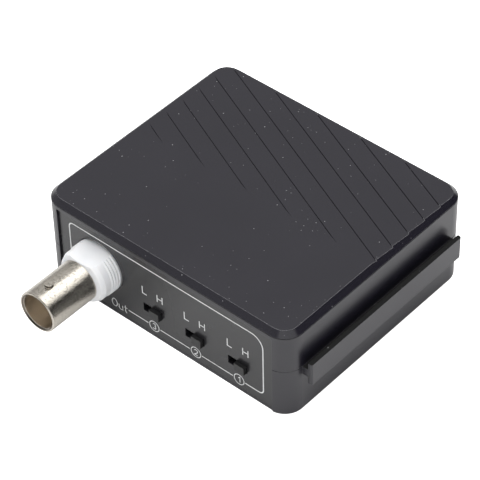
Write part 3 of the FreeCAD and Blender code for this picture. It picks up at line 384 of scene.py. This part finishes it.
PLASTICS = (
    # finish, material, colour, grains per metre, their depth in microns, roughness, other values
    ("panel", "panel_plastic", (0.0105, 0.0102, 0.0125), 2600.0, 3, 0.26, {"specular": 0.7}),
    ("knob", "knob_plastic", (0.009, 0.009, 0.0095), 2600.0, 6, 0.34, {}),
    ("black_plastic", "socket_plastic", (0.02, 0.02, 0.021), 2600.0, 8, 0.42, {}),
    ("terminal_green", "terminal_plastic", (0.02, 0.2, 0.06), 2400.0, 6, 0.4, {"wear": 0.2}),
    ("chip_black", "chip_epoxy", (0.02, 0.02, 0.02), 5200.0, 12, 0.6, {}),
    ("switch_base", "pressed_laminate", (0.2, 0.1, 0.05), 2200.0, 10, 0.6, {}),
    ("can_sleeve", "shrunk_sleeve", (0.02, 0.025, 0.08), 1600.0, 4, 0.25, {}),
    ("ferrite", "ferrite", (0.05, 0.05, 0.052), 3600.0, 30, 0.7, {}),
    ("surge_tube", "glazed_ceramic", (0.75, 0.73, 0.68), 1800.0, 4, 0.25, {"wear": 0.0}),
    ("insulator", "insulator", (0.80, 0.70, 0.56), 1500.0, 4, 0.5, {"wear": 0.0}),
)
FINISHES = {}
for finish, material_name, colour, scale, depth, roughness, others in PLASTICS:
    FINISHES[finish] = moulded(material_name, colour, scale, depth * MICRON, roughness, **others)
print("plastics:", sorted(FINISHES))

# %% [markdown]
# ## The case
# The case has more to show than its grain. Along its rim runs a fine pale line, a painted highlight where the
# sharp turn from lid to bevel catches the light, and the risers of the slanting steps are painted near black
# as painted shade, which reads as thin dark lines. Both lines come from one look along the edges, so
# something has
# to tell them apart. Vertex paint could, but a few comparisons of the place with the lid's own size are
# exact:
# the rim is the outer strip of the lid, with its rounded corners, and the steps lie inside it.

# %% Where the lid ends
LID_LEVEL = 22.4
LID_HALF_X, LID_HALF_Y = 32.5, 27.8
RIM_ZONE = 0.45
CORNER_SUM = 57.3


def coordinates(tree):
    """The three object coordinates as separate sockets, in metres."""
    place = add(tree, "TexCoord")
    split = add(tree, "SeparateXYZ")
    tree.links.new(place.outputs["Object"], split.inputs["Vector"])
    return split.outputs["X"], split.outputs["Y"], split.outputs["Z"]


def lid_masks(tree, x, y, z):
    """Two masks: all that lies at the lid's level, and all that lies out along its rim."""
    out_x = math_node(tree, "ABSOLUTE", x)
    out_y = math_node(tree, "ABSOLUTE", y)
    on_lid = math_node(tree, "GREATER_THAN", z, LID_LEVEL * MM)
    at_side = math_node(tree, "GREATER_THAN", out_x, (LID_HALF_X - RIM_ZONE) * MM)
    at_end = math_node(tree, "GREATER_THAN", out_y, (LID_HALF_Y - RIM_ZONE) * MM)
    off_middle = math_node(tree, "ADD", out_x, out_y)
    in_corner = math_node(tree, "GREATER_THAN", off_middle, CORNER_SUM * MM)
    near_rim = math_node(tree, "MAXIMUM", math_node(tree, "MAXIMUM", at_side, at_end), in_corner)
    return on_lid, near_rim


print("rim zone:", RIM_ZONE, "mm inside", LID_HALF_X * 2, "x", LID_HALF_Y * 2, "mm")


# %% [markdown]
# A step has a short riser and a long tread, and their tilt tells which is which. The treads slope by a degree
# or two, which a glossy lid would show as a fold where they begin. On the real lid they fade in softly, and
# moving the points would change the object, so the finish shades every tread as level. The risers get painted
# shade. A second place of painted shade is the channel between the wall and the side rail: hardly any light
# finds its way in, so the upward faces down there are painted as dark and dull as the risers.

# %% Risers, treads and the rail's channel
RISER_BELOW = 0.97
FLOOR_ABOVE = 0.9
RAIL_START = 33.8
RAIL_TOP = 16.0


def step_masks(tree, x, z, up, inner):
    """Two masks: the places painted with shade, and the treads; inner is the lid without its rim."""
    riser = math_node(tree, "LESS_THAN", up, RISER_BELOW)
    tread = math_node(tree, "SUBTRACT", inner, riser, clamp=True)
    beside = math_node(tree, "GREATER_THAN", math_node(tree, "ABSOLUTE", x), RAIL_START * MM)
    low = math_node(tree, "LESS_THAN", z, RAIL_TOP * MM)
    floor_like = math_node(tree, "GREATER_THAN", up, FLOOR_ABOVE)
    channel = product(tree, beside, low, floor_like)
    return math_node(tree, "MAXIMUM", product(tree, inner, riser), channel), tread


print("channel: beyond", RAIL_START, "mm and below", RAIL_TOP, "mm")


# %% [markdown]
# Now the layers go on from the bottom up: plastic, painted shade, rubbed corners that are partly a painted
# highlight, the painted highlight of the rim, dust. The rim's line isn't whole on the real case, so a noise
# thins it here and there. The walls are a little duller than the lid, and the painted shade mirrors nothing
# at all.

# %% The case
CASE_DARKER, CASE_LIGHTER = (0.0080, 0.0070, 0.0125), (0.0098, 0.0085, 0.0155)
# Painted shade: the near black of the step risers and of the rail's channel.
PAINTED_SHADE = (0.001, 0.001, 0.001)
# Rubbed corners off the lid: partly wear, partly a painted highlight.
RUBBED_AND_HIGHLIGHT = (0.09, 0.09, 0.09)
RUBBED_AND_HIGHLIGHT_SHARE = 0.25
# A painted highlight along the rim of the lid.
RIM_HIGHLIGHT = (0.26, 0.26, 0.27)
RIM_PATCHES = 260.0
THIN_BELOW, WHOLE_ABOVE, THINNEST = 0.38, 0.6, 0.25
DUST_GREY = (0.3, 0.3, 0.31)
LID_GLOSS = (0.19, 0.25)
WALL_BELOW = 0.5
WALL_DULLNESS = 0.09


def case_plastic():
    """The black case: painted rim highlight, painted shade, rubbed corners with painted highlight, and dust.
    """
    material, tree, shader = new_material("case_plastic")
    x, y, z = coordinates(tree)
    up = upward(tree)
    on_lid, near_rim = lid_masks(tree, x, y, z)
    inner = math_node(tree, "SUBTRACT", on_lid, near_rim, clamp=True)
    # Painted shade: the risers and the rail's channel are painted near black.
    painted_shade_mask, tread = step_masks(tree, x, z, up, inner)
    edges = use_group(tree, EDGE_WEAR_AND_HIGHLIGHT, Radius=0.00018, Gain=12.0).outputs["Mask"]
    patches = add(tree, "TexNoise", Scale=RIM_PATCHES, Detail=2.0)
    thinned = span(tree, patches.outputs["Fac"], THIN_BELOW, WHOLE_ABOVE, THINNEST, 1.0)
    # rim: a painted highlight along the lid's rim, thinned by the noise.
    rim = product(tree, edges, on_lid, near_rim, thinned)
    off_lid = math_node(tree, "SUBTRACT", 1.0, on_lid)
    # Rubbed corners off the lid, partly wear and partly a painted highlight.
    rubbed_and_highlight = product(tree, edges, off_lid, RUBBED_AND_HIGHLIGHT_SHARE)
    grain = use_group(tree, GRAIN, Scale=3200.0, Drift=SLOW_DRIFT)
    specks = use_group(tree, DUST, Scale=820.0, Size=0.1, Share=0.6)
    skin = blend_colour(tree, grain.outputs["Tone"], CASE_DARKER, CASE_LIGHTER)
    layers = ((painted_shade_mask, PAINTED_SHADE), (rubbed_and_highlight, RUBBED_AND_HIGHLIGHT), (rim, RIM_HIGHLIGHT), (specks.outputs["Mask"], DUST_GREY))
    for mask, colour in layers:
        skin = blend_colour(tree, mask, skin, colour)
    wall = math_node(tree, "LESS_THAN", up, WALL_BELOW)
    gloss = drifting_gloss(tree, grain.outputs["Tone"], *LID_GLOSS)
    gloss = math_node(tree, "ADD", gloss, product(tree, wall, WALL_DULLNESS))
    paint(tree, shader, skin, math_node(tree, "MAXIMUM", gloss, painted_shade_mask))
    shader.inputs["Specular IOR Level"].default_value = 0.72
    height = grain.outputs["Height"]
    bump(tree, shader, height, GRAIN_STRENGTH, 5 * MICRON, rounding=0.0001, level=tread)
    return material


FINISHES["case"] = case_plastic()
print("finish:", FINISHES["case"].name)


# %% [markdown]
# ## White nylon
# The socket's body is unpigmented nylon: light goes a little way in and comes out soft, which keeps its
# shaded side bright. Plain white paint would turn grey there, and real transmission would be slow and noisy.
# A small subsurface weight does it; the surface itself is satin with faint flow marks.

# %% Nylon of the socket
def nylon():
    """White satin plastic that light enters by a millimetre or two."""
    material, tree, shader = new_material("white_nylon")
    shader.inputs["Subsurface Weight"].default_value = 0.4
    shader.inputs["Subsurface Radius"].default_value = (0.0016, 0.0015, 0.0014)
    shader.inputs["Subsurface Scale"].default_value = 1.0
    grain = use_group(tree, GRAIN, Scale=1400.0, Drift=160.0)
    skin = blend_colour(tree, grain.outputs["Tone"], (0.84, 0.85, 0.87), (0.89, 0.895, 0.91))
    paint(tree, shader, skin, drifting_gloss(tree, grain.outputs["Tone"], 0.34, 0.46))
    bump(tree, shader, grain.outputs["Height"], 0.3, 4 * MICRON)
    return material


FINISHES["white_nylon"] = nylon()
print("finish:", FINISHES["white_nylon"].name)


# %% [markdown]
# ## Metals
# Turned and plated parts carry fine rings from the lathe, so their gloss is stretched around the axis, while
# bent sheet and drawn wire are brushed along their length. An anisotropic shader could stretch the gloss too,
# but it needs a tangent for each piece. Noise that is squeezed hard in one direction makes the tool marks
# wherever a piece stands, and a slow noise makes the stains. A poor plating also has dark specks, where the
# marks go deepest.

# %% Plated and bare metals
TURNED = (1800.0, 6000.0, 1800.0)
EVEN_MARKS = (2000.0, 2000.0, 2000.0)
EDGE_SHINE = 1.1
PIT_START, PIT_FULL, PIT_SHADE = 0.5, 0.36, 0.5
GLOSSIEST, DULLEST = 0.75, 1.3


def metal(name, bright, dull, roughness, squeeze, depth=5 * MICRON, speckle=0.0, extra=None):
    """Metal with tool marks, stains and worn edges; extra adds shades of its own to colour and gloss."""
    material, tree, shader = new_material(name)
    shader.inputs["Metallic"].default_value = 1.0
    place = add(tree, "TexCoord")
    stretch = add(tree, "Mapping")
    stretch.inputs["Scale"].default_value = squeeze
    tree.links.new(place.outputs["Object"], stretch.inputs["Vector"])
    marks = add(tree, "TexNoise", Scale=1.0, Detail=4.0, Roughness=0.65)
    tree.links.new(stretch.outputs["Vector"], marks.inputs["Vector"])
    grain = use_group(tree, GRAIN, Scale=900.0, Drift=260.0)
    edges = use_group(tree, EDGE_WEAR_AND_HIGHLIGHT, Radius=0.00015, Gain=4.0)
    skin = blend_colour(tree, grain.outputs["Tone"], dull, bright)
    skin = blend_colour(tree, edges.outputs["Mask"], skin, scaled(bright, EDGE_SHINE))
    if speckle > 0:
        pits = span(tree, marks.outputs["Fac"], PIT_START, PIT_FULL, 0.0, speckle)
        skin = blend_colour(tree, pits, skin, scaled(dull, PIT_SHADE))
    gloss = drifting_gloss(tree, marks.outputs["Fac"], roughness * GLOSSIEST, roughness * DULLEST)
    if extra is not None:
        skin, gloss = extra(tree, skin, gloss)
    paint(tree, shader, skin, gloss)
    bump(tree, shader, marks.outputs["Fac"], 0.4, depth)
    return material


METALS = (
    # finish, material, bright colour, dull colour, roughness, marks per metre along X, Y and Z
    ("contact_brass", "gilded_brass", (0.55, 0.44, 0.27), (0.42, 0.33, 0.2), 0.4, TURNED),
    ("jack_metal", "pin_plate", (0.75, 0.72, 0.68), (0.6, 0.57, 0.52), 0.22, TURNED),
    ("tin", "tinned_wire", (0.7, 0.7, 0.7), (0.55, 0.55, 0.56), 0.35, (900.0, 900.0, 9000.0)),
    ("switch_steel", "switch_steel", (0.66, 0.66, 0.66), (0.52, 0.52, 0.52), 0.3, (9000.0, 600.0, 600.0)),
    ("screw_steel", "zinc_plate", (0.68, 0.69, 0.7), (0.5, 0.5, 0.5), 0.32, (3000.0, 3000.0, 3000.0)),
    ("copper", "enamelled_copper", (0.7, 0.26, 0.1), (0.5, 0.17, 0.06), 0.28, EVEN_MARKS),
)
for finish, *values in METALS:
    FINISHES[finish] = metal(*values)
print("metals:", [finish for finish, *_ in METALS])


# %% [markdown]
# The socket's barrel is nickel plated brass. Its bore sees little but itself; it is painted a warm, dull
# colour paler than the plating, partly its own tint and partly painted light that stands in for light
# reaching into it.
# The short cone that leads into it and the walls of the two lugs mirror nothing bright, so they get painted
# shade. Each could have a material of its own, but the record gives the solid one, so the distance from the
# barrel's axis picks the shade.

# %% The barrel
BARREL_X, BARREL_Z = -18.3, 11.55
BORE_RADIUS = 4.1
# The bore's colour is its warm tint and painted light together.
BORE_TINT_AND_LIGHT = (0.76, 0.69, 0.6)
BORE_DULLNESS = 0.12
LEAD_IN, LUG_WALLS = (4.1, 4.44), (4.9, 5.4)
# Painted shade on the lead-in cone and the walls of the lugs.
PAINTED_RING_SHADE = (0.16, 0.14, 0.12)


def barrel_shades(tree, skin, gloss):
    """Paints light into the bore and shade onto the lead-in and lugs, by the distance from the axis as
    squares.
    """
    x, _, z = coordinates(tree)
    off_x = math_node(tree, "SUBTRACT", x, BARREL_X * MM)
    off_z = math_node(tree, "SUBTRACT", z, BARREL_Z * MM)
    reach = math_node(tree, "ADD", product(tree, off_x, off_x), product(tree, off_z, off_z))
    inside = math_node(tree, "LESS_THAN", reach, (BORE_RADIUS * MM) ** 2)
    # The bore is painted paler: its tint and painted light.
    skin = blend_colour(tree, inside, skin, BORE_TINT_AND_LIGHT)
    gloss = math_node(tree, "ADD", gloss, product(tree, inside, BORE_DULLNESS), clamp=True)
    for inner, outer in (LEAD_IN, LUG_WALLS):
        above = math_node(tree, "GREATER_THAN", reach, (inner * MM) ** 2)
        below = math_node(tree, "LESS_THAN", reach, (outer * MM) ** 2)
        # Painted shade on the lead-in cone and the lug walls.
        skin = blend_colour(tree, product(tree, above, below), skin, PAINTED_RING_SHADE)
    return skin, gloss


FINISHES["nickel"] = metal("nickel_plate", (0.63, 0.59, 0.52), (0.51, 0.475, 0.42), 0.2,
                           (2000.0, 2300.0, 2000.0), 120 * MICRON, speckle=0.55, extra=barrel_shades)
print("finishes so far:", len(FINISHES))


# %% [markdown]
# ## Circuit board and lamp
# The board is glass laminate under green mask, with a weave that shows faintly through it; a picture of a
# board would be quicker, but bands of a wave need no file and stay sharp. The lamp's lens is tinted resin:
# transmission with a red absorption would be exact, but a tinted, partly transmitting Principled is enough
# for a lens three millimetres wide.

# %% Board and lens
def laminate():
    """Green solder mask over a faint weave."""
    material, tree, shader = new_material("solder_mask")
    place = add(tree, "TexCoord")
    weave = add(tree, "TexWave", wave_type="BANDS", bands_direction="X", Scale=320.0, Distortion=1.5)
    tree.links.new(place.outputs["Object"], weave.inputs["Vector"])
    grain = use_group(tree, GRAIN, Scale=800.0, Drift=120.0)
    tone = product(tree, weave.outputs["Fac"], grain.outputs["Tone"])
    skin = blend_colour(tree, tone, (0.008, 0.075, 0.03), (0.02, 0.15, 0.06))
    paint(tree, shader, skin, drifting_gloss(tree, grain.outputs["Tone"], 0.22, 0.34))
    bump(tree, shader, weave.outputs["Fac"], 0.2, 4 * MICRON)
    return material


def lens():
    """Red tinted resin, glossy and partly clear."""
    material, tree, shader = new_material("red_lens")
    shader.inputs["Transmission Weight"].default_value = 0.75
    shader.inputs["IOR"].default_value = 1.5
    grain = use_group(tree, GRAIN, Scale=700.0, Drift=300.0)
    skin = blend_colour(tree, grain.outputs["Tone"], (0.75, 0.03, 0.02), (0.9, 0.09, 0.06))
    paint(tree, shader, skin, drifting_gloss(tree, grain.outputs["Tone"], 0.06, 0.14))
    return material


FINISHES["board"] = laminate()
FINISHES["led_red"] = lens()
print("finishes in all:", len(FINISHES))

# %% [markdown]
# ## Dressing the solids
# The record that comes with the solids says which finish each of them has, so no list has to be kept here:
# dressing them is one loop.

# %% Put the finishes on the solids
slot_of = {entry["node"]: entry["material_slot"] for entry in frame["record"]["subparts"]}
for name, node in nodes.items():
    node.data.materials.clear()
    node.data.materials.append(FINISHES[slot_of[name]])
print("dressed", len(slot_of), "solids in", len(set(slot_of.values())), "finishes")


# %% [markdown]
# ## The print on the front panel
# The panel carries a white frame line, a letter pair over each switch, ringed numbers in the line below them,
# and one word beside the socket. It is screen print. The ink is matt white and uneven, because the screen's
# mesh lets more of it through in some places, so the dark plastic shows faintly. A noise of its own could do
# that; the plastics' grain, only finer, does it with one node.

# %% Ink
def ink():
    """Matt white screen ink with a speckle."""
    material, tree, shader = new_material("white_ink")
    grain = use_group(tree, GRAIN, Scale=5200.0, Drift=700.0)
    skin = blend_colour(tree, grain.outputs["Tone"], (0.70, 0.71, 0.71), (0.95, 0.96, 0.96))
    paint(tree, shader, skin, drifting_gloss(tree, grain.outputs["Tone"], 0.5, 0.65))
    bump(tree, shader, grain.outputs["Height"], 0.3, 3 * MICRON)
    return material


INK = ink()
print("finish:", INK.name)

# %% [markdown]
# The marks are drawn with a pen of constant width. An image would be easier, but it would blur close up. So
# every mark is a path of straight steps and arcs, and the pen's width is laid out on both sides of it. At
# each point the two sides stand off at right angles to the mean of the directions that meet there, a little
# further in sharp turns, so that the width stays the same.

# %% Paths and their two sides
SHARPEST = 0.4


def arc(cx, cz, radius, start, end, steps=8, squeeze=1.0):
    """Points of an arc, angles in degrees; squeeze narrows it along X."""
    turns = [math.radians(start + (end - start) * i / steps) for i in range(steps + 1)]
    return [(cx + radius * squeeze * math.cos(a), cz + radius * math.sin(a)) for a in turns]


def ribbon_sides(path, width, closed):
    """The left and right side of a ribbon at each point of its path."""
    points = [Vector((x, z)) for x, z in path]
    count = len(points)
    sides = []
    for i, here in enumerate(points):
        before = points[i - 1] if i > 0 or closed else None
        after = points[(i + 1) % count] if i < count - 1 or closed else None
        steps = [(here - before).normalized()] if before is not None else []
        steps += [(after - here).normalized()] if after is not None else []
        along = sum(steps, Vector((0.0, 0.0))).normalized()
        across = Vector((-along.y, along.x))
        lean = max(SHARPEST, across.dot(Vector((-steps[0].y, steps[0].x))))
        offset = across * (width / 2 / lean)
        sides.append((here + offset, here - offset))
    return sides


print("a quarter turn has", len(arc(0, 0, 1, 0, 90)), "points")

# %% [markdown]
# The ink is a film about a hundredth of a millimetre thick. A curve object with a bevel would be round, and a
# plane would have no edge. So the two sides of a path become a flat ribbon with a top, a bottom and two
# edges, which lies half in the panel's face and half on it.

# %% Ribbons of ink
panel_low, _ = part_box("front_panel")
PANEL_FACE = panel_low.y / MM
INK_FILM = 0.012


def ribbon(name, path, width, closed=False):
    """A flat ribbon of ink along a path given as (x, z) points in millimetres."""
    verts = []
    for left, right in ribbon_sides(path, width, closed):
        for corner in (left, right):
            for depth in (PANEL_FACE - INK_FILM, PANEL_FACE + INK_FILM):
                verts.append((corner.x * MM, depth * MM, corner.y * MM))
    count = len(path)
    faces = []
    for i in range(count if closed else count - 1):
        a, b = 4 * i, 4 * ((i + 1) % count)
        faces += [(a, b, b + 2, a + 2), (a + 1, a + 3, b + 3, b + 1)]
        faces += [(a, a + 1, b + 1, b), (a + 2, b + 2, b + 3, a + 3)]
    if not closed:
        last = 4 * (count - 1)
        faces += [(0, 2, 3, 1), (last, last + 1, last + 3, last + 2)]
    mesh = bpy.data.meshes.new(name)
    mesh.from_pydata(verts, [], faces)
    piece = bpy.data.objects.new(name, mesh)
    bpy.context.scene.collection.objects.link(piece)
    mesh.materials.append(INK)
    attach(piece, "case")


print("panel face at y =", round(PANEL_FACE, 2), "mm")

# %% [markdown]
# The frame line runs round the panel's rim. It has small bends at three corners and a wide one at the top
# right. Along the bottom it is thinner and stops for the socket, the word and each ringed number. It could be
# one path with gaps cut out afterwards, but it is simpler to work out where the gaps are and to draw the
# pieces between them.

# %% The frame line
LINE = 0.3
THIN_LINE = LINE * 0.8
LEFT, RIGHT, TOP, BOTTOM = -26.55, 26.9, 18.9, 3.05
BEND, WIDE_BEND = 1.2, 3.0
NUMBERS = {"3": -3.16, "2": 8.51, "1": 20.33}
RING = 1.34
GAP = 0.35
WORD_LEFT, WORD_RIGHT = -15.3, -10.6
AFTER_WORD = 0.1
HIDDEN_LEFT = -18.6
upper_line = (arc(LEFT + BEND, BOTTOM + BEND, BEND, 270, 180)
              + arc(LEFT + BEND, TOP - BEND, BEND, 180, 90)
              + arc(RIGHT - WIDE_BEND, TOP - WIDE_BEND, WIDE_BEND, 90, 0)
              + arc(RIGHT - BEND, BOTTOM + BEND, BEND, 0, -90))
breaks = [(HIDDEN_LEFT, WORD_RIGHT + AFTER_WORD)]
breaks += [(x - RING - GAP, x + RING + GAP) for x in NUMBERS.values()]
first_end, last_end = (breaks[0][0], BOTTOM), (breaks[-1][1], BOTTOM)
ribbon("print_frame_line", [first_end] + upper_line + [last_end], LINE)
for i in range(3):
    ribbon("print_line_%d" % (i + 1), [(breaks[i][1], BOTTOM), (breaks[i + 1][0], BOTTOM)], THIN_LINE)
print("frame line points:", len(upper_line) + 2)

# %% [markdown]
# The lettering has one pen width, so each sign is a short list of strokes on a grid one unit high. Round
# parts come from arcs. A font could set it too, but the print on such a panel is drawn with a round pen.

# %% Signs as strokes
SIGNS = {
    # sign: its width, then its strokes
    "L": (0.62, [[(0, 1), (0, 0), (0.62, 0)]]),
    "H": (0.72, [[(0, 0), (0, 1)], [(0.72, 0), (0.72, 1)], [(0, 0.5), (0.72, 0.5)]]),
    "1": (0.3, [[(0, 0.72), (0.3, 1), (0.3, 0)]]),
    "2": (0.6, [arc(0.3, 0.7, 0.3, 160, -30, 8) + [(0, 0), (0.6, 0)]]),
    "3": (0.58, [arc(0.28, 0.74, 0.26, 150, -80, 8), arc(0.28, 0.27, 0.28, 85, -150, 8)]),
    "O": (0.72, [arc(0.36, 0.5, 0.5, 90, 450, 20, 0.72)[:-1]]),
    "u": (0.5, [[(0, 0.66), (0, 0.25)] + arc(0.25, 0.25, 0.25, 180, 360, 8) + [(0.5, 0.66)],
                [(0.5, 0.25), (0.5, 0)]]),
    "t": (0.42, [[(0.14, 0.95), (0.14, 0.2)] + arc(0.34, 0.2, 0.2, 180, 270, 4), [(0, 0.66), (0.4, 0.66)]]),
}


def write(label, sign, left, bottom, tall, pen):
    """Draws one sign from its lower left corner and returns where it ends."""
    width, strokes = SIGNS[sign]
    for k, stroke in enumerate(strokes):
        path = [(left + x * tall, bottom + z * tall) for x, z in stroke]
        ribbon("print_%s_%d" % (label, k + 1), path, pen, closed=sign == "O")
    return left + width * tall


print("signs:", " ".join(SIGNS))

# %% [markdown]
# The marks stand where a user needs them: the two letters over the ends of each switch's slot, and a ringed
# number in the frame line under it, counted from the right. All sizes were read from the photograph through
# the fitted camera.

# %% Letters, ringed numbers and the word
LETTER, LETTER_PEN, LETTER_ROW = 1.95, 0.25, 11.08
LOW_AT, HIGH_AT, SWITCH_PITCH = 17.35, 21.5, 11.7
DIGIT, DIGIT_PEN, RING_LINE = 1.5, 0.21, 0.2
WORD_TALL, WORD_PEN, WORD_DROP, WORD_SPACE = 2.1, 0.19, 1.2, 0.5
for i, number in enumerate("123"):
    back = SWITCH_PITCH * i
    write("low_" + number, "L", LOW_AT - back, LETTER_ROW, LETTER, LETTER_PEN)
    write("high_" + number, "H", HIGH_AT - back, LETTER_ROW, LETTER, LETTER_PEN)
for number, x in NUMBERS.items():
    ribbon("print_ring_" + number, arc(x, BOTTOM, RING, 0, 360, 40)[:-1], RING_LINE, closed=True)
    width = SIGNS[number][0] * DIGIT
    write("number_" + number, number, x - width / 2, BOTTOM - DIGIT / 2, DIGIT, DIGIT_PEN)
pen_at = WORD_LEFT
for i, sign in enumerate("Out"):
    pen_at = write("word_%d" % (i + 1), sign, pen_at, BOTTOM - WORD_DROP, WORD_TALL, WORD_PEN) + WORD_SPACE
print("word ends at x =", round(pen_at - WORD_SPACE, 2))

# %% [markdown]
# ## Floor and light
# The photograph stands on white with no shadow, because its ground was cleaned to white afterwards. The
# plastic itself tells what was there before: its walls mirror a bright floor that darkens close to the box.
# A floor that only glows would be white too, but it would light the box from below. So the floor is plain
# paper for every ray but the camera's own, which sees it glow white. From below the sheet is clear, so that
# the underside of the box can be looked at.

# %% White paper
TABLE_GLOW = 0.02
PAPER_DROP = 0.00005
PAPER_REACH = 3.0


def paper():
    """A sheet of white paper just under the box."""
    mesh = bpy.data.meshes.new("paper")
    corners = [(-1, -1), (1, -1), (1, 1), (-1, 1)]
    verts = [(x * PAPER_REACH, y * PAPER_REACH, -PAPER_DROP) for x, y in corners]
    mesh.from_pydata(verts, [], [(0, 1, 2, 3)])
    floor = bpy.data.objects.new("paper", mesh)
    bpy.context.scene.collection.objects.link(floor)
    material, tree, shader = new_material("white_paper")
    shader.inputs["Roughness"].default_value = 0.9
    shader.inputs["Specular IOR Level"].default_value = 0.1
    fibres = use_group(tree, GRAIN, Scale=900.0, Drift=30.0)
    sheet = blend_colour(tree, fibres.outputs["Tone"], (0.9, 0.9, 0.9), (0.94, 0.94, 0.94))
    tree.links.new(sheet, shader.inputs["Base Color"])
    shader.inputs["Emission Color"].default_value = (1.0, 1.0, 1.0, 1.0)
    seen = add(tree, "LightPath")
    glow = math_node(tree, "MAXIMUM", seen.outputs["Is Camera Ray"], TABLE_GLOW)
    tree.links.new(glow, shader.inputs["Emission Strength"])
    clear = add(tree, "BsdfTransparent")
    side = add(tree, "NewGeometry")
    choose = add(tree, "MixShader")
    tree.links.new(side.outputs["Backfacing"], choose.inputs["Fac"])
    tree.links.new(shader.outputs["BSDF"], choose.inputs[1])
    tree.links.new(clear.outputs["BSDF"], choose.inputs[2])
    tree.links.new(choose.outputs["Shader"], tree.nodes["Material Output"].inputs["Surface"])
    mesh.materials.append(material)


paper()
print("paper:", PAPER_REACH * 2, "m wide")


# %% [markdown]
# Glossy black plastic and plated metal show the room more than themselves, so the lamps were placed by what
# they mirror in the photograph. The broad stripe along the metal barrel is one lamp behind on the right with
# a weaker one beside it, and the dark stripe under it is the dark side of the room. The lid mirrors a dim
# room, pale on the left and dark on the right, which two lamps above and a graded sky give. One large lamp at
# the right in front lights the floor. A picture of a studio would be simpler, but its lamps can't be tuned
# one by one.

# %% Lamps
LAMPS = (
    # name, place in metres, side in metres, power in watts
    ("lamp_behind", (0.22, 0.47, 0.73), 0.72, 2.5),
    ("lamp_wide", (0.02, 0.50, 0.80), 0.6, 0.6),
    ("lamp_front", (0.64, -0.42, 0.54), 1.3, 4.7),
    ("lamp_above", (-0.42, -0.02, 0.80), 0.4, 1.7),
    ("lamp_top", (-0.05, -0.20, 0.90), 0.5, 2.7),
)


def softbox(name, place, size, power):
    """A large square lamp that points at the box."""
    lamp = bpy.data.lights.new(name, "AREA")
    lamp.shape = "SQUARE"
    lamp.size = size
    lamp.energy = power
    holder = bpy.data.objects.new(name, lamp)
    bpy.context.scene.collection.objects.link(holder)
    holder.location = place
    holder.rotation_euler = (-Vector(place)).to_track_quat("-Z", "Y").to_euler()


for values in LAMPS:
    softbox(*values)
print("lamps:", len(LAMPS), "with", round(sum(power for *_, power in LAMPS), 1), "W")

# %% [markdown]
# The sky stands for the rest of the room. Its brightness follows the angle to one pale side, from dark to
# bright, where a single grey would leave the lid flat. The plain view transform keeps the paper pure white.

# %% Sky
PALE_SIDE = (-0.55, 0.10, 0.83)
DARK_UNTIL, PALE_FROM = 0.2, 0.8
DARK_SKY, PALE_SKY = 0.04, 0.6
sky = bpy.data.worlds.new("sky")
sky.use_nodes = True
tree = sky.node_tree
direction = add(tree, "TexCoord")
towards = add(tree, "VectorMath", operation="DOT_PRODUCT")
tree.links.new(direction.outputs["Generated"], towards.inputs[0])
towards.inputs[1].default_value = PALE_SIDE
level = span(tree, towards.outputs["Value"], DARK_UNTIL, PALE_FROM, DARK_SKY, PALE_SKY)
background = tree.nodes["Background"]
background.inputs["Color"].default_value = (1.0, 1.0, 1.0, 1.0)
tree.links.new(level, background.inputs["Strength"])
bpy.context.scene.world = sky
bpy.context.scene.view_settings.view_transform = "Standard"
print("sky from", DARK_SKY, "to", PALE_SKY)

# %% [markdown]
# ## Camera
# The camera's place was found by fitting a pinhole camera to the box's edges in the photograph. It stands
# half a metre away, right of the front and well above, with a long lens, and it rolls by one degree. A camera
# that tracks a target would stand level, so the three directions of the fitted frame go in as they are.

# %% Camera of the photograph
EYE = Vector((242.895, -273.256, 354.304)) * MM
TO_RIGHT = Vector((0.75251, 0.65835, -0.01756))
TO_BOTTOM = Vector((0.4424, -0.52507, -0.72704))
TO_FRONT = Vector((-0.48787, 0.53933, -0.68637))
SENSOR_WIDTH, FOCAL_LENGTH = 36.0, 177.27
NEAREST, FARTHEST = 0.01, 20.0
lens_data = bpy.data.cameras.new("camera")
lens_data.sensor_width = SENSOR_WIDTH
lens_data.lens = FOCAL_LENGTH
lens_data.clip_start = NEAREST
lens_data.clip_end = FARTHEST
camera = bpy.data.objects.new("camera", lens_data)
bpy.context.scene.collection.objects.link(camera)
turn = Matrix((TO_RIGHT, -TO_BOTTOM, -TO_FRONT)).transposed()
camera.matrix_world = Matrix.Translation(EYE) @ turn.to_4x4()
bpy.context.scene.camera = camera
print("camera distance in mm:", round(EYE.length / MM, 1))
